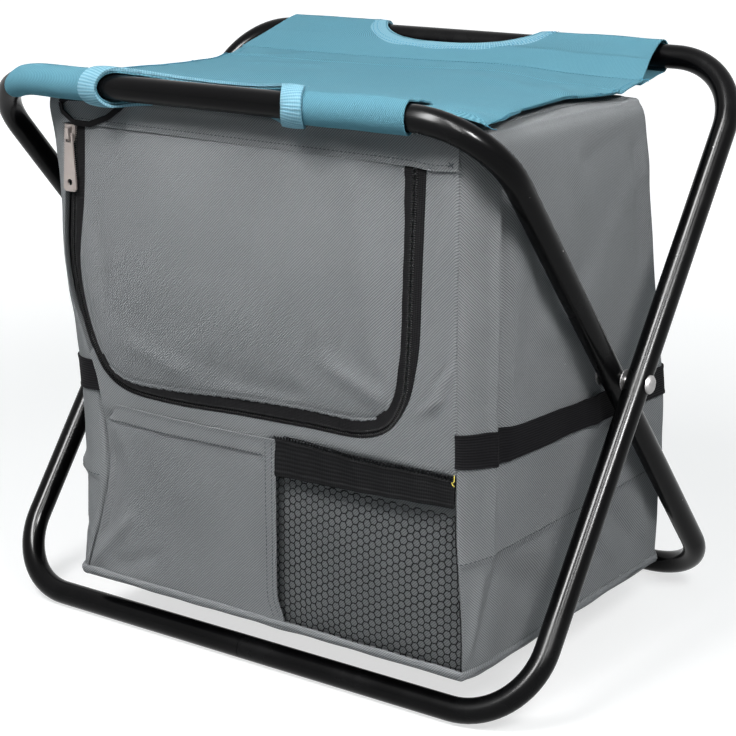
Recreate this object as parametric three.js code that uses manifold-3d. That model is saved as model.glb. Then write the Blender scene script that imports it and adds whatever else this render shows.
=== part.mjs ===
// Folding stool: two crossed tube frames, a cloth seat and a cooler bag hung between them.
// Millimetres, +Z up, the bag's door faces -Y.
import * as THREE from 'three';
import Module from 'manifold-3d';

const wasm = await Module();
wasm.setup();

// Steel tube frames
const tubeRadius = 8;
const tubeBoreRadius = 7;
const pivotHeight = 192.1;
const pivotSetback = -1.85;
const innerHalfWidth = 192;
const innerTopReach = 158.6;
const innerTopHeight = 369.2;
const tubeSideGap = 1.6;
const outerHalfWidth = innerHalfWidth + 2 * tubeRadius + tubeSideGap;
const outerTopReach = 135.8;
const outerTopHeight = 378.8;
const bendRadius = 50;
const buttGap = 0.4;
const plugRadius = 6.4;
const plugLength = 56;
const tubeSides = 20;
const boreSides = 12;
const bendSteps = 8;

// Rivets and spacer washers at the crossing
const rivetRadius = 3;
const rivetHoleRadius = 3.12;
const rivetHeadRadius = 6;
const rivetHeadHeight = 2.6;
const rivetTailHeight = 1.6;
const rivetSides = 16;
const washerRadius = 7;
const washerThickness = 0.8;
const partGap = 0.35;
const seamGap = 0.9;

// Cloth sleeves around the two top bars
const sleeveBore = 8.6;
const sleeveRadius = 10;
const rimRadius = 10.6;
const sleeveSides = 16;
const rimWidth = 14;
const frontSleeveLegGap = 27;
const frontSleeveLeftEnd = frontSleeveLegGap - innerHalfWidth;
const frontHoleLeft = -83;
const frontHoleRight = 53;
const frontSleeveRightEnd = innerHalfWidth - bendRadius;
const rearSleeveLeftGap = 33.6;
const rearSleeveRightGap = 60.6;
const rearSleeveLeftEnd = rearSleeveLeftGap - outerHalfWidth;
const rearHoleLeft = -74;
const rearHoleRight = 58;
const rearSleeveRightEnd = outerHalfWidth - rearSleeveRightGap;

// Seat cloth
const seatThickness = 1.6;
const seatFrontSetback = 11;
const seatFrontRise = 5.2;
const seatFrontReach = innerTopReach - seatFrontSetback;
const seatFrontHeight = innerTopHeight + seatFrontRise;
const seatRearSetback = 11.2;
const seatRearRise = 2.2;
const seatRearReach = outerTopReach - seatRearSetback;
const seatRearInset = 5;
const seatRearLeft = rearSleeveLeftEnd + seatRearInset;
const seatRearHeight = outerTopHeight + seatRearRise;
const frontHoleDepth = 24;
const rearHoleDepth = 21;
const seatRimThickness = 0.7;
const seatRimLift = 0.6;
const seatSag = 2.2;
const holeRimSkip = 10;
const tipLegGap = 11;
const tipX = innerHalfWidth - tipLegGap;
const tipSetback = 6.6;
const tipReach = seatFrontReach - tipSetback;
const tipDrop = 8.4;
const tipHeight = seatFrontHeight - tipDrop;

// Cooler bag: its lid lies just under the lowest point of the seat cloth
const fabric = 1.6;
const bagLeftLegGap = 33;
const bagLeft = bagLeftLegGap - innerHalfWidth;
const bagRightLegGap = 13;
const bagRight = innerHalfWidth - bagRightLegGap;
const bagFrontSetback = 12.6;
const bagFront = bagFrontSetback - innerTopReach;
const bagBackSetback = 20.8;
const bagBack = outerTopReach - bagBackSetback;
const bagBottom = 38.6;
const bagTop = tipHeight - seatSag - seatThickness - fabric - partGap;
const shoulderHeight = 20;
const frontShoulderLean = 14;
const shoulderLean = 24;
const rearShoulderLean = 10;
const foam = 4;
const hingeDrop = 16.65;
const hingeHeight = bagTop - hingeDrop;
const hingeGap = 0.4;
const frontCornerDepth = 26;
const rearCornerRadius = 12;
const footThickness = 2.2;
const pipingRadius = 1.5;
const pocketDepth = 7;
const pocketTop = 160;
const pocketSplit = 36;
const pocketSheet = 1.2;
const pocketLipRise = 10;
const pocketLipRun = 8;
const frontSwell = 0.7;
const pocketSwell = 0.3;

// Door, zip and small trim
const toothHalfGap = 0.15;
const toothHalfWidth = 2.4;
const tapeInnerEdge = 2.7;
const tapeDoorEdge = 9;
const tapeLeftEdge = 4.6;
const tapeRightEdge = 8.8;
const tapeThickness = 0.8;
const toothThickness = 1.4;
const zipLooseDrop = 48;
const doorBulge = 8;
const sliderWidth = 9;
const sliderLength = 11;
const tabLength = 37;
const tabThickness = 1.1;
const netPitch = 9.2;
const netStrand = 1.7;
const netThickness = 1;
const strapThickness = 1.3;
const strapGap = 0.9;

// Outlines of the bag: [up, across] as shares of its height and of its width or depth
const leftSideShares = [
  [-0.01, 0.068], [0.246, 0.068], [0.416, 0.059], [0.478, 0.05], [0.834, 0.009], [0.95, 0],
];
const rightSideShares = [[-0.01, 0.998], [0.066, 0.9985], [0.47, 0.9985], [0.95, 1]];
const backShares = [
  [-0.01, 0.981], [0.246, 0.992], [0.391, 1], [0.593, 0.943], [0.698, 0.904], [0.887, 0.843], [0.964, 0.79],
  [1.008, 0.743],
];
const leftSeamShares = [
  [-0.01, 0.098], [0.011, 0.104], [0.131, 0.142], [0.243, 0.166], [0.345, 0.157], [0.42, 0.145],
  [0.5, 0.117], [0.58, 0.083], [0.67, 0.068], [0.81, 0.075], [0.95, 0.081],
];
const rightSeamShares = [[-0.01, 0.988], [0.057, 0.987], [0.283, 0.97], [0.46, 0.966], [0.95, 0.962]];
const sideRowShares = [0, 0.14, 0.262, 0.368, 0.447, 0.533, 0.632, 0.744, 0.889, 1];
const foamRowShares = [0.246, 0.42, 0.5, 0.7, 0.834];

// Zip line: [across, up] as shares of the bag's width and of the height up to the hinge line
const zipShares = [
  [0.101, 1], [0.095, 0.858], [0.089, 0.71], [0.107, 0.615], [0.139, 0.523], [0.172, 0.471], [0.219, 0.443],
  [0.331, 0.434], [0.494, 0.441], [0.648, 0.446], [0.778, 0.451], [0.828, 0.477], [0.857, 0.533],
  [0.865, 0.602], [0.871, 0.812], [0.876, 1],
];

function mixed(low, high, share) {
  return low + (high - low) * share;
}

function easedShare(share) {
  const held = Math.min(Math.max(share, 0), 1);
  return held * held * (3 - 2 * held);
}

// Straight-line reading of a [height, position] list
function lineAt(line, height) {
  let index = 1;
  while (index < line.length - 1 && line[index][0] < height) {
    index += 1;
  }
  const [lowHeight, lowValue] = line[index - 1];
  const [highHeight, highValue] = line[index];
  const share = (height - lowHeight) / (highHeight - lowHeight);
  return mixed(lowValue, highValue, Math.min(Math.max(share, 0), 1));
}

function point(x, y, z) {
  return new THREE.Vector3(x, y, z);
}

function bagLine(shares, low, high) {
  return shares.map(([up, across]) => [mixed(bagBottom, bagTop, up), mixed(low, high, across)]);
}

const leftSideLine = bagLine(leftSideShares, bagLeft, bagRight);
const rightSideLine = bagLine(rightSideShares, bagLeft, bagRight);
const leftSeamLine = bagLine(leftSeamShares, bagLeft, bagRight);
const rightSeamLine = bagLine(rightSeamShares, bagLeft, bagRight);
const backLine = bagLine(backShares, bagFront, bagBack);

function evenShares(count) {
  return Array.from({ length: count + 1 }, (unused, index) => index / count);
}

// Geometry from points and triangles, turned outward if its volume comes out negative
function closedGeometry(points, faces) {
  let volume = 0;
  for (let index = 0; index < faces.length; index += 3) {
    const [a, b, c] = [points[faces[index]], points[faces[index + 1]], points[faces[index + 2]]];
    volume += a.dot(b.clone().cross(c));
  }
  const turned = volume < 0 ? faces.slice().reverse() : faces;
  const geometry = new THREE.BufferGeometry();
  const numbers = points.flatMap((spot) => spot.toArray());
  geometry.setAttribute('position', new THREE.Float32BufferAttribute(numbers, 3));
  geometry.setIndex(turned);
  return geometry;
}

// Closed sheet between an outer and an inner grid of points with the same layout
function sheetBetween(outer, inner) {
  const rows = outer.length;
  const columns = outer[0].length;
  const layer = rows * columns;
  const faces = [];
  const quad = (a, b, c, d) => faces.push(a, b, c, a, c, d);
  const at = (row, column) => row * columns + column;
  for (let row = 0; row < rows - 1; row += 1) {
    for (let column = 0; column < columns - 1; column += 1) {
      const [a, b] = [at(row, column), at(row, column + 1)];
      const [c, d] = [at(row + 1, column + 1), at(row + 1, column)];
      quad(a, b, c, d);
      quad(...[a, d, c, b].map((corner) => corner + layer));
    }
  }
  const rim = [];
  for (let column = 0; column < columns - 1; column += 1) {
    rim.push(at(0, column));
  }
  for (let row = 0; row < rows - 1; row += 1) {
    rim.push(at(row, columns - 1));
  }
  for (let column = columns - 1; column > 0; column -= 1) {
    rim.push(at(rows - 1, column));
  }
  for (let row = rows - 1; row > 0; row -= 1) {
    rim.push(at(row, 0));
  }
  rim.forEach((here, index) => {
    const next = rim[(index + 1) % rim.length];
    quad(next, here, here + layer, next + layer);
  });
  return closedGeometry([...outer.flat(), ...inner.flat()], faces);
}

// Path through given stations, one cross-section at each of them
class StationPath extends THREE.Curve {
  constructor(stations) {
    super();
    this.stations = stations;
  }

  stationAt(share) {
    const last = this.stations.length - 1;
    return this.stations[Math.min(last, Math.round(share * last))];
  }

  getPoint(share) {
    return this.stationAt(share).place.clone();
  }

  getPointAt(share) {
    return this.getPoint(share);
  }

  getTangentAt(share) {
    return this.stationAt(share).way.clone();
  }
}

function ringShape(radius, sides, turn, centreX = 0, centreY = 0) {
  return new THREE.Shape(Array.from({ length: sides }, (unused, index) => {
    const angle = turn + (index * 2 * Math.PI) / sides;
    return new THREE.Vector2(centreX + radius * Math.cos(angle), centreY + radius * Math.sin(angle));
  }));
}

function sweep(shape, stations) {
  const extrudePath = new StationPath(stations);
  return new THREE.ExtrudeGeometry(shape, { steps: stations.length - 1, extrudePath, bevelEnabled: false });
}

// Each tube loop is flat and leans about the pivot: front is -1 for the loop whose top bar is in front
const innerLoop = {
  front: -1,
  halfWidth: innerHalfWidth,
  lean: Math.atan2(innerTopReach, innerTopHeight - pivotHeight),
  upper: Math.hypot(innerTopReach, innerTopHeight - pivotHeight),
};
const outerLoop = {
  front: 1,
  halfWidth: outerHalfWidth,
  lean: Math.atan2(outerTopReach, outerTopHeight - pivotHeight),
  upper: Math.hypot(outerTopReach, outerTopHeight - pivotHeight),
};
for (const loop of [innerLoop, outerLoop]) {
  loop.lower = (pivotHeight - tubeRadius) / Math.cos(loop.lean);
}

function onLoop(loop, x, climb) {
  const y = loop.front * climb * Math.sin(loop.lean);
  return point(x, y + pivotSetback, pivotHeight + climb * Math.cos(loop.lean));
}

function loopWay(loop, x, climb) {
  return point(x, loop.front * climb * Math.sin(loop.lean), climb * Math.cos(loop.lean)).normalize();
}

// Corner of a loop: quarter turn about a centre, given the heading at its start
function cornerStations(loop, sideX, climb, startAngle) {
  const centreX = sideX * (loop.halfWidth - bendRadius);
  const centreClimb = climb - Math.sign(climb) * bendRadius;
  return evenShares(bendSteps).map((share) => {
    const angle = startAngle + (share * Math.PI) / 2;
    const x = centreX + bendRadius * Math.cos(angle);
    const place = onLoop(loop, x, centreClimb + bendRadius * Math.sin(angle));
    return { place, way: loopWay(loop, -Math.sin(angle), Math.cos(angle)) };
  });
}

function loopStations(loop) {
  const start = { place: onLoop(loop, buttGap / 2, -loop.lower), way: loopWay(loop, 1, 0) };
  const end = { place: onLoop(loop, -buttGap / 2, -loop.lower), way: loopWay(loop, 1, 0) };
  return [
    start,
    ...cornerStations(loop, 1, -loop.lower, -Math.PI / 2),
    ...cornerStations(loop, 1, loop.upper, 0),
    ...cornerStations(loop, -1, loop.upper, Math.PI / 2),
    ...cornerStations(loop, -1, -loop.lower, Math.PI),
    end,
  ];
}

// Section with one facet facing the ground under the bottom bar
function tubeShape() {
  const across = tubeRadius / Math.cos(Math.PI / tubeSides);
  const shape = ringShape(across, tubeSides, Math.PI / tubeSides);
  shape.holes.push(ringShape(tubeBoreRadius, boreSides, 0));
  return shape;
}

function asManifold(geometry) {
  const places = geometry.getAttribute('position');
  const numbers = new Map();
  const vertProperties = [];
  const triVerts = [];
  for (let index = 0; index < places.count; index += 1) {
    const spot = [places.getX(index), places.getY(index), places.getZ(index)];
    const label = spot.map((value) => value.toFixed(4)).join(' ');
    if (!numbers.has(label)) {
      numbers.set(label, numbers.size);
      vertProperties.push(...spot);
    }
    triVerts.push(numbers.get(label));
  }
  const mesh = new wasm.Mesh({
    numProp: 3,
    vertProperties: new Float32Array(vertProperties),
    triVerts: new Uint32Array(triVerts),
  });
  return new wasm.Manifold(mesh);
}

function fromManifold(solid) {
  const mesh = solid.getMesh();
  const geometry = new THREE.BufferGeometry();
  geometry.setAttribute('position', new THREE.BufferAttribute(Float32Array.from(mesh.vertProperties), 3));
  geometry.setIndex(Array.from(mesh.triVerts));
  return geometry;
}

// Cylinder along X through the pivot, with a different radius at some of its stations
function pivotLathe(profile, side) {
  const outline = profile.map(([radius, distance]) => new THREE.Vector2(radius, distance));
  const geometry = new THREE.LatheGeometry([...outline, outline[0]], rivetSides);
  geometry.rotateZ((-side * Math.PI) / 2);
  geometry.translate(0, pivotSetback, pivotHeight);
  return geometry;
}

function drilledTube(loop) {
  const tube = sweep(tubeShape(), loopStations(loop));
  const drillLength = 2 * (outerHalfWidth + 2 * tubeRadius);
  const drill = new THREE.CylinderGeometry(rivetHoleRadius, rivetHoleRadius, drillLength, rivetSides)
    .toNonIndexed();
  drill.rotateZ(Math.PI / 2);
  drill.translate(0, pivotSetback, pivotHeight);
  return fromManifold(asManifold(tube).subtract(asManifold(drill)));
}

function loopPlug(loop) {
  const stations = [-plugLength / 2, plugLength / 2].map((x) => (
    { place: onLoop(loop, x, -loop.lower), way: loopWay(loop, 1, 0) }
  ));
  return sweep(ringShape(plugRadius, boreSides, 0), stations);
}

// Stations along a top bar from one x to another, following the bend past its start
function topBarStations(loop, fromX, toX) {
  const bendStart = loop.halfWidth - bendRadius;
  const stops = [fromX];
  for (const share of evenShares(3)) {
    const low = mixed(-bendStart, fromX, 1 - share);
    const high = mixed(bendStart, toX, share);
    if (fromX < -bendStart && share > 0) {
      stops.push(low);
    }
    if (toX > bendStart && share < 1) {
      stops.push(high);
    }
  }
  stops.push(toX);
  return stops.map((x) => {
    const past = Math.max(Math.abs(x) - bendStart, 0);
    const angle = Math.sign(x) * Math.asin(past / bendRadius);
    const climb = loop.upper - bendRadius * (1 - Math.cos(angle));
    return { place: onLoop(loop, x, climb), way: loopWay(loop, Math.cos(angle), -Math.sin(angle)) };
  });
}

function barSleeve(loop, fromX, toX, radius) {
  const shape = ringShape(radius, sleeveSides, 0);
  shape.holes.push(ringShape(sleeveBore, sleeveSides, 0));
  return sweep(shape, topBarStations(loop, fromX, toX));
}

function pivotRivet(side) {
  const tail = innerHalfWidth - tubeRadius - partGap;
  const head = outerHalfWidth + tubeRadius + partGap;
  const profile = [
    [0, tail - rivetTailHeight],
    [rivetHeadRadius * 0.8, tail - rivetTailHeight],
    [rivetHeadRadius, tail - rivetTailHeight / 2],
    [rivetHeadRadius, tail],
    [rivetRadius, tail],
    [rivetRadius, head],
    [rivetHeadRadius, head],
    [rivetHeadRadius * 0.86, head + rivetHeadHeight * 0.55],
    [rivetHeadRadius * 0.5, head + rivetHeadHeight * 0.9],
    [0, head + rivetHeadHeight],
  ];
  return pivotLathe(profile, side);
}

function pivotWasher(side) {
  const middle = innerHalfWidth + tubeRadius + tubeSideGap / 2;
  const [near, far] = [middle - washerThickness / 2, middle + washerThickness / 2];
  const inner = rivetHoleRadius;
  return pivotLathe([[inner, near], [washerRadius, near], [washerRadius, far], [inner, far]], side);
}

// Seat cloth: its columns run from bar to bar and stop short at the two hand holes
const seatColumnShares = [
  0, 0.08, 0.17, 0.25, 0.262, 0.28, 0.32, 0.336, 0.36, 0.4, 0.46, 0.52, 0.58, 0.62, 0.645, 0.662,
  0.69, 0.707, 0.722, 0.79, 0.86, 0.93, 1,
];
const seatMainShares = [0, 0.07, 0.2, 0.38, 0.56, 0.74, 0.9, 1];
const seatFlapShares = [0.25, 0.5, 0.75, 1];
const seatLeftShares = [
  [-0.009, 0.017], [0.101, 0.054], [0.322, 0.068], [0.542, 0.071], [0.675, 0.065], [1, 0],
];
const seatRightShares = [
  [-0.009, 0.892], [0.024, 1], [0.285, 0.943], [0.524, 0.918], [0.623, 0.949], [0.675, 0.963], [1, 0.909],
];
const ridgeShares = [
  [0.065, 0.682], [0.213, 0.748], [0.369, 0.77], [0.491, 0.785], [0.688, 0.792], [0.778, 0.763],
  [0.889, 0.722], [0.963, 0.675],
];
const ridgeLiftShares = [
  [0.065, -0.024], [0.369, 0], [0.491, 0.095], [0.688, 0.214], [0.778, -0.024], [0.963, -0.167],
];
const seatBarShare = 0.86;

// Seat outlines in lengths: across from the rear left corner to the right tip, along from front to rear
function seatAcross(share) {
  return mixed(seatRearLeft, tipX, share);
}

function seatAlong(share) {
  return mixed(-seatFrontReach, seatRearReach, share);
}

const seatLeftLine = seatLeftShares.map(([along, across]) => [seatAlong(along), seatAcross(across)]);
const seatRightLine = seatRightShares.map(([along, across]) => [seatAlong(along), seatAcross(across)]);
const ridgeLine = ridgeShares.map(([across, along]) => [seatAcross(across), seatAlong(along)]);
const ridgeHeightLine = ridgeLiftShares.map(([across, lift]) => (
  [seatAcross(across), mixed(tipHeight, seatFrontHeight, lift)]
));

function holeShare(x, left, right) {
  const across = (2 * x - left - right) / (right - left);
  return Math.abs(across) < 1 ? Math.sqrt(1 - across * across) : 0;
}

function seatFrontPoint(share) {
  const x = mixed(frontSleeveLeftEnd, frontSleeveRightEnd, share / seatBarShare);
  if (share > seatBarShare) {
    const pastShare = (share - seatBarShare) / (1 - seatBarShare);
    const past = easedShare(pastShare);
    const edge = mixed(frontSleeveRightEnd, tipX, pastShare);
    return point(edge, -mixed(seatFrontReach, tipReach, past), mixed(seatFrontHeight, tipHeight, past));
  }
  const cut = holeShare(x, frontHoleLeft, frontHoleRight);
  const drop = easedShare(cut) * (seatFrontHeight - tipHeight) * 0.8;
  return point(x, cut * frontHoleDepth - seatFrontReach, seatFrontHeight - drop);
}

function seatRidgePoint(share) {
  const x = mixed(ridgeLine[0][0], ridgeLine[ridgeLine.length - 1][0], share);
  return point(x, lineAt(ridgeLine, x), lineAt(ridgeHeightLine, x));
}

function seatRearPoint(share) {
  const x = mixed(seatRearLeft, rearSleeveRightEnd, share);
  const cut = holeShare(x, rearHoleLeft, rearHoleRight);
  return point(x, seatRearReach - cut * rearHoleDepth, seatRearHeight - cut * rearHoleDepth * 0.22);
}

function seatPoint(share, rowShare) {
  const front = seatFrontPoint(share);
  const ridge = seatRidgePoint(share);
  const rear = seatRearPoint(share);
  if (rowShare > 1) {
    return ridge.clone().lerp(rear, rowShare - 1);
  }
  const spot = front.clone().lerp(ridge, rowShare);
  const nearBar = Math.exp(-rowShare / 0.09);
  spot.z = mixed(mixed(tipHeight, ridge.z, rowShare), front.z, nearBar);
  spot.z -= seatSag * Math.sin(Math.PI * rowShare) * Math.sin(Math.PI * share);
  const edgeX = lineAt(share < 0.5 ? seatLeftLine : seatRightLine, spot.y);
  const pull = share < 0.5 ? easedShare(1 - share / 0.25) : easedShare((share - 0.8) / 0.2);
  spot.x = mixed(spot.x, edgeX, pull);
  return spot;
}

function lowered(grid, depth) {
  return grid.map((row) => row.map((spot) => spot.clone().setZ(spot.z - depth)));
}

function shiftedToPivot(grid) {
  return grid.map((row) => row.map((spot) => spot.clone().setY(spot.y + pivotSetback)));
}

function seatCloth() {
  const rowShares = [...seatMainShares, ...seatFlapShares.map((share) => 1 + share)];
  const top = rowShares.map((rowShare) => seatColumnShares.map((share) => seatPoint(share, rowShare)));
  return sheetBetween(shiftedToPivot(top), shiftedToPivot(lowered(top, seatThickness)));
}

// Folded tape along the seat's edge of a hand hole, lying on the cloth
const frontRimRowShares = [0.01, 0.07];
const rearRimRowShares = [1.99, 1.75];

function frontSeatShare(x) {
  return (seatBarShare * (x - frontSleeveLeftEnd)) / (frontSleeveRightEnd - frontSleeveLeftEnd);
}

function rearSeatShare(x) {
  return (x - seatRearLeft) / (rearSleeveRightEnd - seatRearLeft);
}

function holeRim(fromShare, toShare, [edgeRow, inwardRow]) {
  const shares = evenShares(14).map((share) => mixed(fromShare, toShare, share));
  const onSeat = (share, rowShare) => {
    const spot = seatPoint(share, rowShare);
    return spot.setZ(spot.z + seatRimLift);
  };
  const bottom = shares.map((share) => [onSeat(share, edgeRow), onSeat(share, inwardRow)]);
  return sheetBetween(shiftedToPivot(lowered(bottom, -seatRimThickness)), shiftedToPivot(bottom));
}

// Bag walls: plan outline of one side, from its front seam round to its rear seam
const sideShares = [0, 0.05, 0.1, 0.15, 0.2, 0.36, 0.52, 0.68, 0.84, 0.89, 0.94, 1];
const frontTurnShare = 0.2;
const rearTurnShare = 0.84;

function sideOutline(side, height, share) {
  const seamX = lineAt(side < 0 ? leftSeamLine : rightSeamLine, height);
  const sideX = lineAt(side < 0 ? leftSideLine : rightSideLine, height);
  const back = lineAt(backLine, height);
  const turn = sideX - seamX;
  if (share < frontTurnShare) {
    const angle = (share / frontTurnShare) * (Math.PI / 2);
    const y = bagFront + frontCornerDepth * (1 - Math.cos(angle));
    const [leaning, facing] = [frontCornerDepth * Math.sin(angle), Math.abs(turn) * Math.cos(angle)];
    const inward = new THREE.Vector2(-side * leaning, facing).normalize();
    return { x: seamX + turn * Math.sin(angle), y, inward };
  }
  if (share <= rearTurnShare) {
    const along = (share - frontTurnShare) / (rearTurnShare - frontTurnShare);
    const y = mixed(bagFront + frontCornerDepth, back - rearCornerRadius, along);
    return { x: sideX, y, inward: new THREE.Vector2(-side, 0) };
  }
  const angle = ((share - rearTurnShare) / (1 - rearTurnShare)) * (Math.PI / 2);
  const x = sideX - side * rearCornerRadius * (1 - Math.cos(angle));
  const y = back - rearCornerRadius * (1 - Math.sin(angle));
  return { x, y, inward: new THREE.Vector2(-side * Math.cos(angle), -Math.sin(angle)) };
}

function sideWallPoint(side, height, share, depth) {
  const spot = sideOutline(side, height, share);
  return point(spot.x + spot.inward.x * depth, spot.y + spot.inward.y * depth + pivotSetback, height);
}

// How far the wall has leant in at a height of the shoulder
function shoulderDrift(height, lean) {
  const rise = Math.min(Math.max((height - bagTop + shoulderHeight) / shoulderHeight, 0), 1);
  return lean * (1 - Math.sqrt(1 - rise * rise));
}

// The side's top edge leans in over the bag, least at its two corners
function shoulderPoint(side, angle, share, depth) {
  const start = bagTop - shoulderHeight;
  const fullLean = mixed(frontShoulderLean, shoulderLean, easedShare(share / 0.5));
  const lean = mixed(fullLean, rearShoulderLean, easedShare((share - 0.7) / 0.3));
  const rise = (shoulderHeight - depth) * Math.sin(angle);
  const flat = sideWallPoint(side, Math.min(start + rise, bagTop), share, depth * Math.cos(angle));
  return point(flat.x - side * lean * (1 - Math.cos(angle)), flat.y, start + rise);
}

function sideWall(side, nearDepth, farDepth) {
  const angles = [30, 60, 90].map((degrees) => THREE.MathUtils.degToRad(degrees));
  const heights = sideRowShares.map((share) => mixed(bagBottom, bagTop - shoulderHeight, share));
  const layers = [nearDepth, farDepth].map((depth) => [
    ...heights.map((height) => sideShares.map((share) => sideWallPoint(side, height, share, depth))),
    ...angles.map((angle) => sideShares.map((share) => shoulderPoint(side, angle, share, depth))),
  ]);
  return sheetBetween(...layers);
}

function sideFoam(side) {
  const between = foamRowShares.map((share) => mixed(bagBottom, bagTop, share));
  const heights = [liningFoot, ...between, liningHead];
  const shares = [frontTurnShare, 0.5, 0.8];
  const layers = [fabric + partGap, fabric + partGap + foam].map((depth) => (
    heights.map((height) => shares.map((share) => sideWallPoint(side, height, share, depth)))
  ));
  return sheetBetween(...layers);
}

function backWall(lowHeight, highHeight, nearDepth, farDepth, sideInset) {
  const between = backLine.map(([up]) => up).filter((up) => up > lowHeight && up < highHeight);
  const heights = [lowHeight, ...between, highHeight];
  const layers = [nearDepth, farDepth].map((depth) => heights.map((height) => {
    const left = lineAt(leftSideLine, height) + sideInset;
    const right = lineAt(rightSideLine, height) - sideInset;
    const lean = shoulderDrift(height, rearShoulderLean);
    return evenShares(4).map((share) => (
      point(mixed(left + lean, right - lean, share), lineAt(backLine, height) - depth + pivotSetback, height)
    ));
  }));
  return sheetBetween(...layers);
}

// Level plate between the bag's walls, its edge set in from the outside
function levelPlate(lowHeight, highHeight, outline) {
  const shape = new THREE.Shape(outline.map(([x, y]) => new THREE.Vector2(x, y + pivotSetback)));
  const geometry = new THREE.ExtrudeGeometry(shape, { depth: highHeight - lowHeight, bevelEnabled: false });
  geometry.translate(0, 0, lowHeight);
  return geometry;
}

function footprint(inset, frontRecess) {
  const walk = (side, shares) => shares.map((share) => {
    const spot = sideOutline(side, bagBottom, share);
    if (share > frontTurnShare) {
      return [spot.x + spot.inward.x * inset, spot.y + spot.inward.y * inset];
    }
    return [spot.x - side * inset, Math.max(spot.y, bagFront + frontRecess + inset)];
  });
  return [...walk(1, sideShares), ...walk(-1, sideShares.slice().reverse())];
}

// Stiff board and foam on the foot, and foam under the lid
const footBoardThickness = 2;
const liningSetIn = 3;
const foamFootHeight = bagBottom + 2 * partGap + footBoardThickness;
const liningFoot = foamFootHeight + foam + partGap;
const liningHeadDrop = 24.25;
const liningHead = bagTop - liningHeadDrop;

function footBoard() {
  const low = bagBottom + partGap;
  return levelPlate(low, low + footBoardThickness, footprint(liningSetIn, pocketDepth));
}

function footFoam() {
  return levelPlate(foamFootHeight, foamFootHeight + foam, footprint(liningSetIn, pocketDepth));
}

// The lid rests on the walls' top edges, just under the seat cloth
const lidFoot = bagTop + partGap;

function lidOutline(inset) {
  const top = Math.PI / 2;
  const walk = (side, shares) => shares.map((share) => {
    const spot = shoulderPoint(side, top, share, 0);
    const back = lineAt(backLine, bagTop) - inset;
    const y = Math.min(Math.max(spot.y - pivotSetback, bagFront + inset), back);
    return [spot.x - side * inset, y];
  });
  const inner = sideShares.slice(2, -2);
  return [...walk(1, inner), ...walk(-1, inner.slice().reverse())];
}

function topFoam() {
  return levelPlate(bagTop - foam, bagTop, lidOutline(2 * fabric + partGap));
}

function bagLid() {
  return levelPlate(lidFoot, lidFoot + fabric, lidOutline(0));
}

function pipingRing() {
  const spots = footprint(pipingRadius, 0).map(([x, y]) => (
    point(x, y + pivotSetback, bagBottom - partGap - pipingRadius)
  ));
  const first = spots[0].clone().lerp(spots[spots.length - 1], 0.5);
  const last = first.clone();
  first.x += buttGap / 2;
  last.x -= buttGap / 2;
  const route = [first, ...spots, last];
  const stations = route.map((place, index) => {
    const before = route[Math.max(index - 1, 0)];
    const after = route[Math.min(index + 1, route.length - 1)];
    return { place, way: after.clone().sub(before).normalize() };
  });
  return sweep(ringShape(pipingRadius, 6, 0), stations);
}

// Zip line sampled from top left, along the bottom, to top right
const zipLine = zipShares.map(([across, up]) => (
  point(mixed(bagLeft, bagRight, across), 0, mixed(bagBottom, hingeHeight - hingeGap, up))
));
const zipCurve = new THREE.CatmullRomCurve3(zipLine, false, 'centripetal');
const zipSteps = 38;
const looseShare = zipLooseDrop / zipCurve.getLength();
const zipCutShare = buttGap / zipCurve.getLength();
const leftBottomShare = 0.29;
const rightBottomShare = 0.715;

function zipSpan(fromShare, toShare) {
  const steps = Math.max(4, Math.round(zipSteps * (toShare - fromShare)));
  return evenShares(steps).map((step) => {
    const share = mixed(fromShare, toShare, step);
    const place = zipCurve.getPointAt(share);
    const way = zipCurve.getTangentAt(share);
    return { share, place, outward: point(way.z, 0, -way.x).normalize() };
  });
}

function zipPoint(station, offset, y) {
  const spot = station.place.clone().addScaledVector(station.outward, offset);
  return spot.setY(y + pivotSetback);
}

function zipRibbon(stations, nearEdge, farEdge, frontY, thickness) {
  const reach = (edge, share) => (typeof edge === 'function' ? edge(share) : edge);
  const layers = [frontY, frontY + thickness].map((y) => stations.map((station) => (
    [nearEdge, farEdge].map((edge) => zipPoint(station, reach(edge, station.share), y))
  )));
  return sheetBetween(...layers);
}

function tapeOuterEdge(share) {
  return mixed(tapeLeftEdge, tapeRightEdge, easedShare((share - 0.62) / 0.16));
}

const looseZip = zipSpan(0, looseShare - zipCutShare);
const doorZip = zipSpan(looseShare, 1);
const wholeZip = [...looseZip, ...doorZip];

// Front wall: from the tape's outer edge to the corner seams and the bag's foot
const frontAcrossShares = [0, 0.04, 0.08, 0.3, 0.65, 1];
const frontStartHeight = 182;
const frontStartShare = 0.286;
const frontLeftShare = 0.4;
const frontRightShare = 0.67;

function frontEdgePoint(share) {
  const left = lineAt(leftSeamLine, bagBottom) + seamGap;
  const right = lineAt(rightSeamLine, bagBottom) - seamGap;
  if (share < frontLeftShare) {
    const fall = (share - frontStartShare) / (frontLeftShare - frontStartShare);
    const z = mixed(frontStartHeight, bagBottom, fall);
    return point(lineAt(leftSeamLine, z) + 2 * seamGap, 0, z);
  }
  if (share < frontRightShare) {
    const along = (share - frontLeftShare) / (frontRightShare - frontLeftShare);
    return point(mixed(left, right, along), 0, bagBottom);
  }
  const z = mixed(bagBottom, hingeHeight - hingeGap, (share - frontRightShare) / (1 - frontRightShare));
  return point(lineAt(rightSeamLine, z) - shoulderDrift(z + fabric, frontShoulderLean) - partGap, 0, z);
}

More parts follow.
